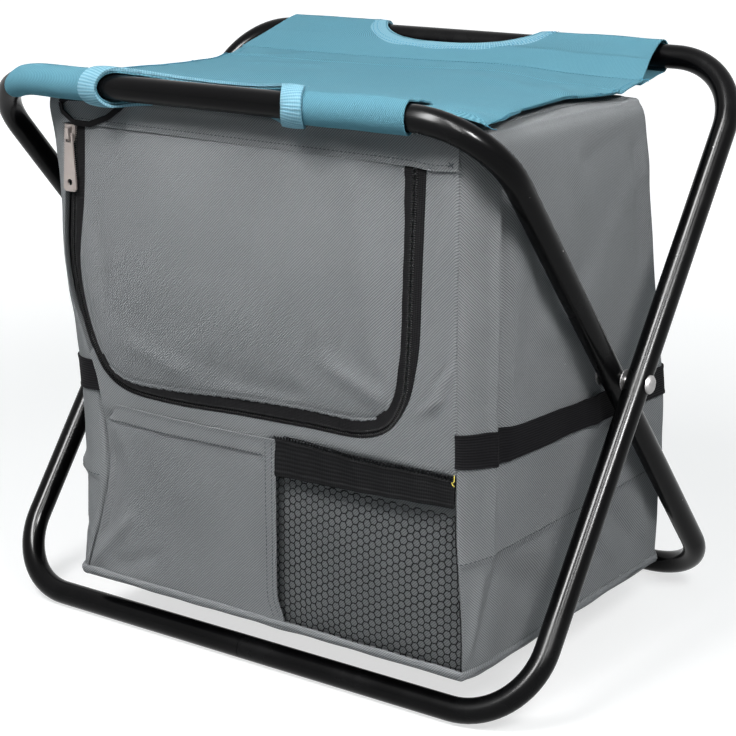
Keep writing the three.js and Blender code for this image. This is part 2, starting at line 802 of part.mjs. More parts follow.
function frontWall() {
  const layers = [0, fabric].map((depth) => zipSpan(frontStartShare, 1).map((station) => {
    const offset = tapeOuterEdge(station.share) + seamGap;
    const near = station.place.clone().addScaledVector(station.outward, offset);
    const far = frontEdgePoint(station.share);
    return frontAcrossShares.map((share) => {
      const spot = near.clone().lerp(far, share);
      const sunkShare = easedShare((pocketTop + pocketLipRise - spot.z) / pocketLipRun);
      const swell = mixed(frontSwell, -pocketSwell, sunkShare) * Math.sin(Math.PI * share);
      return spot.setY(bagFront + pocketDepth * sunkShare - swell + depth + pivotSetback);
    });
  }));
  return sheetBetween(...layers);
}

const bandRowShares = [0, 0.43, 0.845, 1];

function frontTopBand() {
  const heights = bandRowShares.map((share) => mixed(hingeHeight + hingeGap, bagTop, share));
  const layers = [0, fabric].map((depth) => heights.map((height) => {
    const lean = shoulderDrift(height + 2 * fabric, frontShoulderLean) + 2 * partGap;
    const left = lineAt(leftSeamLine, height) + lean;
    const right = lineAt(rightSeamLine, height) - lean;
    return evenShares(6).map((share) => (
      point(mixed(left, right, share), bagFront + depth + pivotSetback, height)
    ));
  }));
  return sheetBetween(...layers);
}

// Door: a patch between the hinge line and the door edge of the zip
function doorEdgePoint(share, inset) {
  const place = zipCurve.getPointAt(share);
  const way = zipCurve.getTangentAt(share);
  return place.addScaledVector(point(way.z, 0, -way.x).normalize(), -inset);
}

function doorPatch(inset, columns, rows, depthAt) {
  const top = hingeHeight - hingeGap;
  const leftTop = doorEdgePoint(0, inset).setZ(top);
  const rightTop = doorEdgePoint(1, inset).setZ(top);
  const leftFoot = doorEdgePoint(leftBottomShare, inset);
  const rightFoot = doorEdgePoint(rightBottomShare, inset);
  return evenShares(rows).map((down) => evenShares(columns).map((across) => {
    const left = down === 0 ? leftTop : doorEdgePoint(down * leftBottomShare, inset);
    const right = down === 0 ? rightTop : doorEdgePoint(1 - down * (1 - rightBottomShare), inset);
    const above = leftTop.clone().lerp(rightTop, across);
    const below = doorEdgePoint(mixed(leftBottomShare, rightBottomShare, across), inset);
    const spot = above.multiplyScalar(1 - down).addScaledVector(below, down);
    spot.addScaledVector(left, 1 - across).addScaledVector(right, across);
    spot.addScaledVector(leftTop, (across - 1) * (1 - down)).addScaledVector(rightTop, across * (down - 1));
    spot.addScaledVector(leftFoot, (across - 1) * down).addScaledVector(rightFoot, -across * down);
    return spot.setY(depthAt(across, down) + pivotSetback);
  }));
}

function doorPanel() {
  const swell = (across, down) => (
    doorBulge * (Math.sin(Math.PI * across) * Math.sin(Math.PI * down)) ** 0.6
  );
  const depthAt = (across, down) => bagFront - swell(across, down);
  const front = doorPatch(tapeDoorEdge + 2 * partGap, 12, 9, depthAt);
  const back = front.map((row) => row.map((spot) => spot.clone().setY(spot.y + fabric)));
  return sheetBetween(front, back);
}

function doorFoam() {
  const inset = tapeDoorEdge + foam;
  const near = bagFront + fabric + partGap;
  const front = doorPatch(inset, 6, 4, () => near);
  const back = doorPatch(inset, 6, 4, () => near + foam);
  return sheetBetween(front, back);
}

// Pockets on the lower front
const pocketRowShares = [0, 0.175, 0.348, 0.645, 0.834, 1];

function pocketPanel() {
  const heights = pocketRowShares.map((share) => mixed(bagBottom + partGap, pocketTop, share));
  const layers = [0, pocketSheet].map((depth) => heights.map((height) => {
    const left = lineAt(leftSeamLine, height) + seamGap;
    return evenShares(6).map((share) => {
      const x = mixed(left, pocketSplit - partGap, share);
      return point(x, bagFront + depth + pivotSetback, height);
    });
  }));
  return sheetBetween(...layers);
}

function frontBlock(left, right, low, high, thickness, lift) {
  const outline = [[left(low), low], [right(low), low], [right(high), high], [left(high), high]];
  const layers = [0, thickness].map((depth) => [0, 1].map((row) => (
    (row === 0 ? outline.slice(0, 2) : [outline[3], outline[2]])
      .map(([x, z]) => point(x, bagFront - lift + depth + pivotSetback, z))
  )));
  return sheetBetween(...layers);
}

const elasticFoot = 134.5;
const elasticLift = 0.4;

function elasticBand() {
  const right = (height) => lineAt(rightSeamLine, height) - partGap;
  return frontBlock(() => pocketSplit + partGap, right, elasticFoot, pocketTop, pocketSheet, elasticLift);
}

// Net with six-sided gaps in staggered rows
function pocketNet() {
  const left = pocketSplit + partGap;
  const right = lineAt(rightSeamLine, elasticFoot) - partGap;
  const low = bagBottom + partGap;
  const high = elasticFoot - partGap;
  const shape = new THREE.Shape([
    new THREE.Vector2(left, low),
    new THREE.Vector2(right, low),
    new THREE.Vector2(right, high),
    new THREE.Vector2(left, high),
  ]);
  const gapRadius = (netPitch - netStrand) / Math.sqrt(3);
  const rowStep = (netPitch * Math.sqrt(3)) / 2;
  const rows = Math.floor((high - low - 2 * gapRadius - netStrand) / rowStep) + 1;
  const columns = Math.floor((right - left - 1.5 * netPitch - netStrand) / netPitch) + 1;
  const startX = (left + right - (columns - 0.5) * netPitch) / 2;
  const startZ = (low + high - (rows - 1) * rowStep) / 2;
  for (let row = 0; row < rows; row += 1) {
    for (let column = 0; column < columns; column += 1) {
      const centreX = startX + (column + (row % 2) / 2) * netPitch;
      const centreZ = startZ + row * rowStep;
      shape.holes.push(ringShape(gapRadius, 6, Math.PI / 6, centreX, centreZ));
    }
  }
  const geometry = new THREE.ExtrudeGeometry(shape, { depth: netThickness, bevelEnabled: false });
  geometry.rotateX(Math.PI / 2);
  geometry.translate(0, bagFront + netThickness + pivotSetback, 0);
  return geometry;
}

// Webbing across the bag's side, from corner seam to corner seam
const strapTurnShares = [0, 0.2, 0.5, 1];
const strapTopHeights = [187, 185, 178, 176];
const strapFootHeights = [167, 163, 160, 155];

function sideStrap(side) {
  const strapTopLine = strapTurnShares.map((share, index) => [share, strapTopHeights[index]]);
  const strapFootLine = strapTurnShares.map((share, index) => [share, strapFootHeights[index]]);
  const layers = [-strapGap - strapThickness, -strapGap].map((depth) => (
    evenShares(3).map((rise) => sideShares.map((share) => {
      const height = mixed(lineAt(strapFootLine, share), lineAt(strapTopLine, share), rise);
      return sideWallPoint(side, height, share, depth);
    }))
  ));
  return sheetBetween(...layers);
}

// Tape loop under the left sleeve: [across, down] as shares of its width and drop
const loopShares = [[0, 0], [0.036, 0.645], [0.218, 1], [0.436, 1], [0.727, 0.645], [0.945, 0.13], [1, 0]];
const loopInset = 28;
const loopLeft = bagLeft + loopInset;
const loopWidth = 55;
const loopDrop = 15.5;
const loopTape = 6;
const loopFront = bagFront - strapThickness - partGap;

function tapeLoop() {
  const loopLine = loopShares.map(([across, down]) => (
    point(loopLeft + across * loopWidth, 0, bagTop + loopTape / 2 - down * loopDrop)
  ));
  const curve = new THREE.CatmullRomCurve3(loopLine);
  const layers = [loopFront, loopFront + strapThickness].map((y) => evenShares(14).map((share) => {
    const place = curve.getPointAt(share);
    const way = curve.getTangentAt(share);
    const across = point(way.z, 0, -way.x).normalize();
    return [-0.5, 0.5].map((edge) => (
      place.clone().addScaledVector(across, edge * loopTape).setY(y + pivotSetback)
    ));
  }));
  return sheetBetween(...layers);
}

// Zip slider in front of the teeth, with a bridge that carries the pull tab
const sliderDrop = 2.4;
const sliderTop = hingeHeight - sliderDrop;
const sliderShare = 0.0994;
const sliderX = mixed(bagLeft, bagRight, sliderShare);
const sliderGap = 0.6;
const sliderDepth = 2.2;
const bridgeHalfWidth = 1.6;
const bridgeDepth = 2.4;
const bridgeThickness = 1;
const bridgeLength = 8;
const sliderFront = bagFront - sliderGap - sliderDepth;

function sliderBody() {
  const halfWidth = sliderWidth / 2;
  const body = new THREE.Shape([
    new THREE.Vector2(-halfWidth, 0),
    new THREE.Vector2(halfWidth, 0),
    new THREE.Vector2(halfWidth * 0.94, -sliderLength * 0.45),
    new THREE.Vector2(halfWidth * 0.55, -sliderLength),
    new THREE.Vector2(-halfWidth * 0.55, -sliderLength),
    new THREE.Vector2(-halfWidth * 0.94, -sliderLength * 0.45),
  ]);
  const bodySolid = new THREE.ExtrudeGeometry(body, { depth: sliderDepth, bevelEnabled: false });
  bodySolid.rotateX(Math.PI / 2);
  bodySolid.translate(sliderX, bagFront - sliderGap, sliderTop);
  const reach = bridgeDepth + bridgeThickness;
  const overlap = bridgeThickness / 2;
  const bridge = new THREE.Shape([
    new THREE.Vector2(overlap, 0),
    new THREE.Vector2(-reach, -bridgeThickness),
    new THREE.Vector2(-reach, -bridgeLength),
    new THREE.Vector2(overlap, -bridgeLength - bridgeThickness),
    new THREE.Vector2(overlap, -bridgeLength + bridgeThickness),
    new THREE.Vector2(-bridgeDepth, -bridgeLength + 2 * bridgeThickness),
    new THREE.Vector2(-bridgeDepth, -2 * bridgeThickness),
    new THREE.Vector2(overlap, -bridgeThickness),
  ]);
  const bridgeSolid = new THREE.ExtrudeGeometry(bridge, { depth: 2 * bridgeHalfWidth, bevelEnabled: false });
  bridgeSolid.applyMatrix4(new THREE.Matrix4().makeBasis(point(0, 1, 0), point(0, 0, 1), point(1, 0, 0)));
  bridgeSolid.translate(sliderX - bridgeHalfWidth, sliderFront, sliderTop - bridgeThickness);
  const joined = fromManifold(asManifold(bodySolid).add(asManifold(bridgeSolid)));
  joined.translate(0, pivotSetback, 0);
  return joined;
}

// Pull tab: its cross bar hangs in the slider's bridge
const tabBar = 1.3;
const tabSlot = 5.4;
const tabSlotHalfWidth = 2.2;
const tabNeckHalfWidth = 3.5;
const tabEndHalfWidth = 5.4;
const tabEndCorner = 1.8;
const tabEyeRadius = 2.2;
const tabEyeRise = 6;
const barHeight = sliderTop - bridgeLength + bridgeThickness + tabBar / 2 + partGap;

function pullTab() {
  const tab = new THREE.Shape([
    new THREE.Vector2(-tabNeckHalfWidth, tabBar / 2),
    new THREE.Vector2(tabNeckHalfWidth, tabBar / 2),
    new THREE.Vector2(tabNeckHalfWidth, -tabSlot - tabBar),
    new THREE.Vector2(tabEndHalfWidth, tabEndCorner - tabLength),
    new THREE.Vector2(tabEndHalfWidth - tabEndCorner, -tabLength),
    new THREE.Vector2(tabEndCorner - tabEndHalfWidth, -tabLength),
    new THREE.Vector2(-tabEndHalfWidth, tabEndCorner - tabLength),
    new THREE.Vector2(-tabNeckHalfWidth, -tabSlot - tabBar),
  ]);
  const slot = new THREE.Shape([
    new THREE.Vector2(-tabSlotHalfWidth, -tabBar / 2),
    new THREE.Vector2(-tabSlotHalfWidth, -tabSlot),
    new THREE.Vector2(tabSlotHalfWidth, -tabSlot),
    new THREE.Vector2(tabSlotHalfWidth, -tabBar / 2),
  ]);
  tab.holes.push(slot, ringShape(tabEyeRadius, 10, 0, 0, tabEyeRise - tabLength));
  const geometry = new THREE.ExtrudeGeometry(tab, { depth: tabThickness, bevelEnabled: false });
  geometry.rotateX(Math.PI / 2);
  const tabBack = sliderFront - bridgeDepth / 2 + tabThickness / 2;
  geometry.translate(sliderX, tabBack + pivotSetback, barHeight);
  return geometry;
}

const finishes = {
  blackTube: { color: 0x16161a, roughness: 0.28, metalness: 0.55 },
  steel: { color: 0x9a9a9c, roughness: 0.35, metalness: 0.9 },
  plugSteel: { color: 0x6c6e70, roughness: 0.6, metalness: 0.8 },
  seatBlue: { color: 0x5e9ab8, roughness: 0.85, metalness: 0 },
  rimBlue: { color: 0x8fc4dc, roughness: 0.8, metalness: 0 },
  bagGrey: { color: 0x6a6f73, roughness: 0.9, metalness: 0 },
  foilSilver: { color: 0xb9bcbf, roughness: 0.4, metalness: 0.6 },
  blackWebbing: { color: 0x1b1b1f, roughness: 0.85, metalness: 0 },
  zipBlack: { color: 0x141416, roughness: 0.6, metalness: 0 },
  boardBlack: { color: 0x2a2b2d, roughness: 0.7, metalness: 0 },
  sliderNickel: { color: 0xa39a94, roughness: 0.35, metalness: 0.9 },
};

const stool = new THREE.Group();
stool.name = 'folding_cooler_stool';

function addPiece(name, geometry, finish) {
  const mesh = new THREE.Mesh(geometry, new THREE.MeshStandardMaterial(finishes[finish]));
  mesh.name = name;
  stool.add(mesh);
}

addPiece('outer_frame_tube', drilledTube(outerLoop), 'blackTube');
addPiece('outer_frame_plug', loopPlug(outerLoop), 'plugSteel');
addPiece('inner_frame_tube', drilledTube(innerLoop), 'blackTube');
addPiece('inner_frame_plug', loopPlug(innerLoop), 'plugSteel');
for (const [side, word] of [[-1, 'left'], [1, 'right']]) {
  addPiece(`pivot_rivet_${word}`, pivotRivet(side), 'steel');
  addPiece(`pivot_washer_${word}`, pivotWasher(side), 'steel');
  addPiece(`bag_side_${word}`, sideWall(side, 0, fabric), 'bagGrey');
  addPiece(`side_foam_${word}`, sideFoam(side), 'foilSilver');
  addPiece(`side_strap_${word}`, sideStrap(side), 'blackWebbing');
}

const rimSpan = rimWidth + partGap;
const sleeveSpans = [
  ['front', innerLoop, frontSleeveLeftEnd, frontHoleLeft, frontHoleRight, frontSleeveRightEnd],
  ['rear', outerLoop, rearSleeveLeftEnd, rearHoleLeft, rearHoleRight, rearSleeveRightEnd],
];
for (const [place, loop, leftEnd, holeLeft, holeRight, rightEnd] of sleeveSpans) {
  addPiece(`${place}_sleeve_left`, barSleeve(loop, leftEnd, holeLeft - rimSpan, sleeveRadius), 'seatBlue');
  addPiece(`${place}_rim_left`, barSleeve(loop, holeLeft - rimWidth, holeLeft, rimRadius), 'rimBlue');
  addPiece(`${place}_rim_right`, barSleeve(loop, holeRight, holeRight + rimWidth, rimRadius), 'rimBlue');
  const rightSleeve = barSleeve(loop, holeRight + rimSpan, rightEnd, sleeveRadius);
  addPiece(`${place}_sleeve_right`, rightSleeve, 'seatBlue');
}
addPiece('seat_cloth', seatCloth(), 'seatBlue');
const frontRimShares = [frontHoleLeft + holeRimSkip, frontHoleRight - holeRimSkip].map(frontSeatShare);
const rearRimShares = [rearHoleLeft + holeRimSkip, rearHoleRight - holeRimSkip].map(rearSeatShare);
addPiece('seat_front_rim', holeRim(...frontRimShares, frontRimRowShares), 'rimBlue');
addPiece('seat_rear_rim', holeRim(...rearRimShares, rearRimRowShares), 'rimBlue');

addPiece('bag_front', frontWall(), 'bagGrey');
addPiece('bag_front_band', frontTopBand(), 'bagGrey');
const backInset = rearCornerRadius + seamGap + partGap;
const foamInset = rearCornerRadius + fabric + seamGap;
const foamNear = fabric + partGap;
const footTop = bagBottom - partGap;
const footOutline = footprint(2 * pipingRadius + 2 * partGap, 0);
addPiece('bag_back', backWall(bagBottom, bagTop, 0, fabric, backInset), 'bagGrey');
addPiece('back_foam', backWall(liningFoot, liningHead, foamNear, foamNear + foam, foamInset), 'foilSilver');
addPiece('bag_foot', levelPlate(footTop - footThickness, footTop, footOutline), 'bagGrey');
addPiece('foot_piping', pipingRing(), 'bagGrey');
addPiece('foot_board', footBoard(), 'boardBlack');
addPiece('foot_foam', footFoam(), 'foilSilver');
addPiece('top_foam', topFoam(), 'foilSilver');
addPiece('bag_top', bagLid(), 'bagGrey');
addPiece('pocket_panel', pocketPanel(), 'bagGrey');
addPiece('pocket_net', pocketNet(), 'blackWebbing');
addPiece('net_elastic', elasticBand(), 'blackWebbing');
addPiece('tape_loop', tapeLoop(), 'blackWebbing');

const teethFront = bagFront + tapeThickness - toothThickness;
const tapeRibbon = (stations, near, far) => zipRibbon(stations, near, far, bagFront, tapeThickness);
const teethRibbon = (stations, near, far) => zipRibbon(stations, near, far, teethFront, toothThickness);
addPiece('zip_tape_bag', tapeRibbon(wholeZip, tapeInnerEdge, tapeOuterEdge), 'zipBlack');
addPiece('zip_teeth_bag', teethRibbon(wholeZip, toothHalfGap, toothHalfWidth), 'zipBlack');
addPiece('zip_tape_top', tapeRibbon(looseZip, -tapeDoorEdge, -tapeInnerEdge), 'zipBlack');
addPiece('zip_teeth_top', teethRibbon(looseZip, -toothHalfWidth, -toothHalfGap), 'zipBlack');
addPiece('zip_tape_door', tapeRibbon(doorZip, -tapeDoorEdge, -tapeInnerEdge), 'zipBlack');
addPiece('zip_teeth_door', teethRibbon(doorZip, -toothHalfWidth, -toothHalfGap), 'zipBlack');
addPiece('door_panel', doorPanel(), 'bagGrey');
addPiece('door_foam', doorFoam(), 'foilSilver');
addPiece('zip_slider', sliderBody(), 'sliderNickel');
addPiece('zip_pull_tab', pullTab(), 'sliderNickel');

export default stool;
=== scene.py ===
import math

import bpy
import numpy as np
from mathutils import Matrix, Vector


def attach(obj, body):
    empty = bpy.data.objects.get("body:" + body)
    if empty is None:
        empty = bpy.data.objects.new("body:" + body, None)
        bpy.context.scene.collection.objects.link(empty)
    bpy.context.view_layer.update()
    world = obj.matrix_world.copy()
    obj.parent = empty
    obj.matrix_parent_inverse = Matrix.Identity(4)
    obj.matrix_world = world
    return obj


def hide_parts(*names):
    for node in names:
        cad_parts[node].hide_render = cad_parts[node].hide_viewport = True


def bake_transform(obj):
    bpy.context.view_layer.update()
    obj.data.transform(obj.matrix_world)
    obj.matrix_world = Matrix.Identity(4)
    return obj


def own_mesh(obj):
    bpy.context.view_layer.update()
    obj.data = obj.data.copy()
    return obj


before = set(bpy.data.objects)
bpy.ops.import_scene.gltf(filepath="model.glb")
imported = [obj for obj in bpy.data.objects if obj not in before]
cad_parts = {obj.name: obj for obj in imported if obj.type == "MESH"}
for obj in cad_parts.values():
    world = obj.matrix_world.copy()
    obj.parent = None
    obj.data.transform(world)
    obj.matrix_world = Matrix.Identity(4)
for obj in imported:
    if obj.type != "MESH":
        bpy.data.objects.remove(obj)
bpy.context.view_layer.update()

# Sizes, in millimetres; MM is one of them in metres
MM = 0.001
# The pivot line lies at this Y and height
SETBACK = -1.85
PIVOT = 192.1
# Frames: radius of the tube, half widths, top bars as (out from the pivot line, height), radius of the bends
TUBE = 8
INNER_HALF = 192
OUTER_HALF = 209.6
INNER_TOP = (158.6, 369.2)
OUTER_TOP = (135.8, 378.8)
BEND = 50
BAG_LEFT, BAG_RIGHT = -159, 179
BAG_FRONT, BAG_BACK = -146, 115
# Heights of the bag's foot and of its top
BAG_FOOT, BAG_TOP = 38.6, 360.25
SHOULDER = 18
CRISP = 0.62
HINGE = 343.6
POCKET_TOP = 160
POCKET_SPLIT = 36
SEAM_HEIGHT = 104

# Outlines of the bag: a share of its height, and there a share of its width, or of its depth for BACK
LEFT_SIDE = [(-0.01, 0.068), (0.246, 0.068), (0.416, 0.059), (0.478, 0.05), (0.834, 0.009), (0.95, 0),
             (1.01, 0)]
RIGHT_SIDE = [(-0.01, 0.998), (0.066, 0.9985), (0.47, 0.9985), (0.95, 1), (1.01, 1)]
BACK = [(-0.01, 0.981), (0.246, 0.985), (0.391, 0.978), (0.55, 0.922), (0.743, 0.868), (0.828, 0.842),
        (0.92, 0.816), (1.008, 0.79)]
LEFT_SEAM = [(-0.01, 0.098), (0.011, 0.104), (0.131, 0.142), (0.243, 0.166), (0.345, 0.157), (0.42, 0.145),
             (0.5, 0.117), (0.58, 0.083), (0.67, 0.068), (0.81, 0.075), (0.95, 0.081), (1.01, 0.081)]
RIGHT_SEAM = [(-0.01, 0.988), (0.057, 0.987), (0.283, 0.97), (0.46, 0.966), (0.95, 0.962), (1.01, 0.962)]
# The zip from its top left end round to the right: shares of the bag's width and of its height to the hinge
ZIP = [(0.107, 1), (0.102, 0.858), (0.096, 0.71), (0.111, 0.615), (0.141, 0.523), (0.172, 0.471),
       (0.219, 0.443), (0.331, 0.434), (0.494, 0.441), (0.648, 0.446), (0.778, 0.451), (0.828, 0.477),
       (0.857, 0.533), (0.865, 0.602), (0.871, 0.812), (0.876, 1)]
# One turn of the ripples in cloth
RIPPLE_TURN = 6.28


def metres(spots):
    """Rows of millimetres, measured from the pivot line, as metres in the frame"""
    moved = np.array(spots, float)
    moved[..., 1] += SETBACK
    return moved * MM


def mix(low, high, share):
    return low + (high - low) * share


def ease(share):
    held = np.clip(share, 0, 1)
    return held * held * (3 - 2 * held)


def reading(line, at):
    """Smooth reading of a list of (place, value) pairs"""
    places, values = np.array(line, float).T
    slopes = np.gradient(values, places)
    at = np.clip(np.asarray(at, float), places[0], places[-1])
    low = np.clip(np.searchsorted(places, at) - 1, 0, len(places) - 2)
    span = places[low + 1] - places[low]
    t = (at - places[low]) / span
    return ((2 * t**3 - 3 * t**2 + 1) * values[low] + (t**3 - 2 * t**2 + t) * span * slopes[low]
            + (3 * t**2 - 2 * t**3) * values[low + 1] + (t**3 - t**2) * span * slopes[low + 1])


def hump(off, width):
    """Bell-shaped rise: 1 in its middle, gone at about twice its width"""
    return np.exp(-((off / width) ** 2))


def up_the_bag(height):
    return (np.asarray(height, float) - BAG_FOOT) / (BAG_TOP - BAG_FOOT)


def across_the_bag(line, height):
    """Sideways place of one of the bag's upright lines"""
    return mix(BAG_LEFT, BAG_RIGHT, reading(line, up_the_bag(height)))


def left_seam(height):
    return across_the_bag(LEFT_SEAM, height)


def right_seam(height):
    return across_the_bag(RIGHT_SEAM, height)


def back_face(height):
    return mix(BAG_FRONT, BAG_BACK, reading(BACK, up_the_bag(height)))


def creases(first, second, folds):
    """Soft folds in cloth: each has two ends, a width and a height that dies away at its ends"""
    lift = np.zeros_like(np.asarray(first, float))
    for (a0, b0), (a1, b1), width, height in folds:
        run = np.array([a1 - a0, b1 - b0], float)
        length = np.hypot(*run)
        along = ((first - a0) * run[0] + (second - b0) * run[1]) / length**2
        off = ((first - a0) * run[1] - (second - b0) * run[0]) / length
        taper = ease(along * 2.5 + 0.45) * ease((1 - along) * 2.5 + 0.45)
        lift = lift + height * taper * hump(off, width)
    return lift


def ripple(first, second, pitch, seed):
    """Quiet unevenness of cloth that has been folded and handled"""
    pick = np.random.default_rng(seed)
    total = np.zeros_like(np.asarray(first, float))
    for _ in range(7):
        angle = pick.uniform(0, math.pi)
        phase = pick.uniform(0, RIPPLE_TURN)
        stretch = pick.uniform(0.7, 1.6)
        wave = (first * math.cos(angle) + second * math.sin(angle)) * RIPPLE_TURN / (pitch * stretch)
        total = total + np.sin(wave + phase)
    return total / 7


# Workshop helpers
def clear_selection():
    if bpy.context.object and bpy.context.object.mode != "OBJECT":
        bpy.ops.object.mode_set(mode="OBJECT")
    bpy.ops.object.select_all(action="DESELECT")


def take(piece):
    clear_selection()
    bpy.context.view_layer.objects.active = piece
    piece.select_set(True)


def named(piece, name):
    piece.name = name
    piece.data.name = name
    return piece


def spots_of(piece):
    spots = np.empty(len(piece.data.vertices) * 3)
    piece.data.vertices.foreach_get("co", spots)
    return spots.reshape(-1, 3)


def put_spots(piece, spots):
    piece.data.vertices.foreach_set("co", np.ascontiguousarray(spots, float).ravel())
    piece.data.update()


def grown(piece, kind, **settings):
    """Adds one modifier and applies it"""
    take(piece)
    modifier = piece.modifiers.new(kind.title(), kind)
    for key, value in settings.items():
        setattr(modifier, key, value)
    bpy.ops.object.modifier_apply(modifier=modifier.name)
    return piece


def smooth(piece, degrees=40):
    take(piece)
    bpy.ops.object.shade_smooth_by_angle(angle=math.radians(degrees))
    return piece


def cloth_panel(name, columns, rows, place, thickness=0.9, flat=None):
    """Cut cloth: a grid laid where place(across, up) says, its UVs in metres of cloth"""
    clear_selection()
    bpy.ops.mesh.primitive_grid_add(x_subdivisions=columns, y_subdivisions=rows, size=1, calc_uvs=True)
    panel = named(bpy.context.object, name)
    grid = spots_of(panel)
    across, up = grid[:, 0] + 0.5, grid[:, 1] + 0.5
    laid = np.array(place(across, up), float).T
    put_spots(panel, metres(laid))
    order = np.lexsort((across, up))
    table = laid[order].reshape(rows + 1, columns + 1, 3)
    if flat is None:
        steps_across = np.linalg.norm(np.diff(table, axis=1), axis=2).mean(0)
        steps_up = np.linalg.norm(np.diff(table, axis=0), axis=2).mean(1)
        along = np.concatenate([[0], np.cumsum(steps_across)])
        rise = np.concatenate([[0], np.cumsum(steps_up)])
        first = np.interp(across, np.linspace(0, 1, columns + 1), along)
        second = np.interp(up, np.linspace(0, 1, rows + 1), rise)
    else:
        first, second = flat(laid)
    loops = np.empty(len(panel.data.loops), np.int32)
    panel.data.loops.foreach_get("vertex_index", loops)
    panel.data.uv_layers.active.data.foreach_set("uv", np.stack([first, second], 1)[loops].ravel() * MM)
    panel.data.uv_layers.active.name = "cloth"
    if thickness:
        grown(panel, "SOLIDIFY", thickness=thickness * MM, offset=-1, use_even_offset=False)
    smooth(panel, 50)
    return panel


def front_flat(laid):
    return laid[:, 0], laid[:, 2]


def from_faces(name, spots, faces):
    """A new piece from points in metres and its faces"""
    mesh = bpy.data.meshes.new(name)
    mesh.from_pydata(spots, [], faces)
    piece = bpy.data.objects.new(name, mesh)
    bpy.context.scene.collection.objects.link(piece)
    return piece


def strung(name, bead, frames):
    """One small piece repeated: each copy lies on its own frame"""
    spots = np.array([tuple(v.co) for v in bead.data.vertices])
    faces = [tuple(p.vertices) for p in bead.data.polygons]
    all_spots, all_faces = [], []
    for number, placed in enumerate(frames):
        turn = np.array(placed)[:3]
        all_spots.append(spots @ turn[:, :3].T + turn[:, 3])
        all_faces += [tuple(index + number * len(spots) for index in face) for face in faces]
    piece = from_faces(name, np.concatenate(all_spots).tolist(), all_faces)
    bpy.data.objects.remove(bead)
    return smooth(piece, 60)


def laid_frame(place, along, outward):
    """Frame with X along the line and Z away from the cloth; place in metres"""
    x = Vector(along).normalized()
    z = Vector(outward).normalized()
    z = (z - x * z.dot(x)).normalized()
    y = z.cross(x)
    rows = [(x[k], y[k], z[k], place[k]) for k in range(3)]
    return Matrix((*rows, (0, 0, 0, 1)))


def reach_along(line):
    """Run from the start of a line to each of its points"""
    return np.concatenate([[0], np.cumsum(np.linalg.norm(np.diff(line, axis=0), axis=1))])


def read_along(line, reach, run, look):
    """Coordinates of a line at each run, and the way there from look behind to look ahead"""

    def read(at):
        return np.array([np.interp(at, reach, line[:, axis]) for axis in range(line.shape[1])])

    return read(run), read(np.minimum(run + look, reach[-1])) - read(np.maximum(run - look, 0))


def evenly(line, pitch):
    """Points and headings at even steps along a line of millimetres"""
    line = np.array(line, float)
    reach = reach_along(line)
    count = max(2, int(reach[-1] / pitch))
    spots, ways = read_along(line, reach, (np.arange(count) + 0.5) * reach[-1] / count, 0.5)
    return spots.T, ways.T


def bead_of_thread(length, width, height):
    clear_selection()
    bpy.ops.mesh.primitive_uv_sphere_add(segments=8, ring_count=5, radius=0.5, rotation=(0, math.pi / 2, 0))
    bead = bpy.context.object
    bpy.ops.object.transform_apply(location=True, rotation=True, scale=True)
    put_spots(bead, spots_of(bead) * np.array([length, width, height]) * MM)
    return bead


def stitch_line(name, line, outward, pitch=3.2, length=2.3, width=0.55, height=0.4):
    spots, ways = evenly(line, pitch)
    if callable(outward):
        normals = [outward(spot) for spot in spots]
    else:
        normals = [outward] * len(spots)
    placed = metres(spots)
    frames = [laid_frame(p, w, n) for p, w, n in zip(placed, ways, normals)]
    return strung(name, bead_of_thread(length, width, height), frames)


def coated(piece, material):
    piece.data.materials.clear()
    piece.data.materials.append(material)


def mounted(piece, body, material, slot, *nodes, soft=True):
    """Gives a piece its finish, its body and the solids that it stands for"""
    coated(piece, material)
    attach(piece, body)
    if nodes:
        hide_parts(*nodes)
    if soft:
        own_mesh(piece)
    return piece


def repainted(material, *nodes):
    """Gives CAD pieces that are shown as they are a finish of this scene"""
    for node in nodes:
        coated(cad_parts[node], material)


# Shader groups
def new_group(name, inputs, outputs):
    group = bpy.data.node_groups.new(name, "ShaderNodeTree")
    for label, kind, value in inputs:
        socket = group.interface.new_socket(label, in_out="INPUT", socket_type=kind)
        if value is not None:
            socket.default_value = value
    for label, kind in outputs:
        group.interface.new_socket(label, in_out="OUTPUT", socket_type=kind)
    return group, group.nodes.new("NodeGroupInput"), group.nodes.new("NodeGroupOutput")


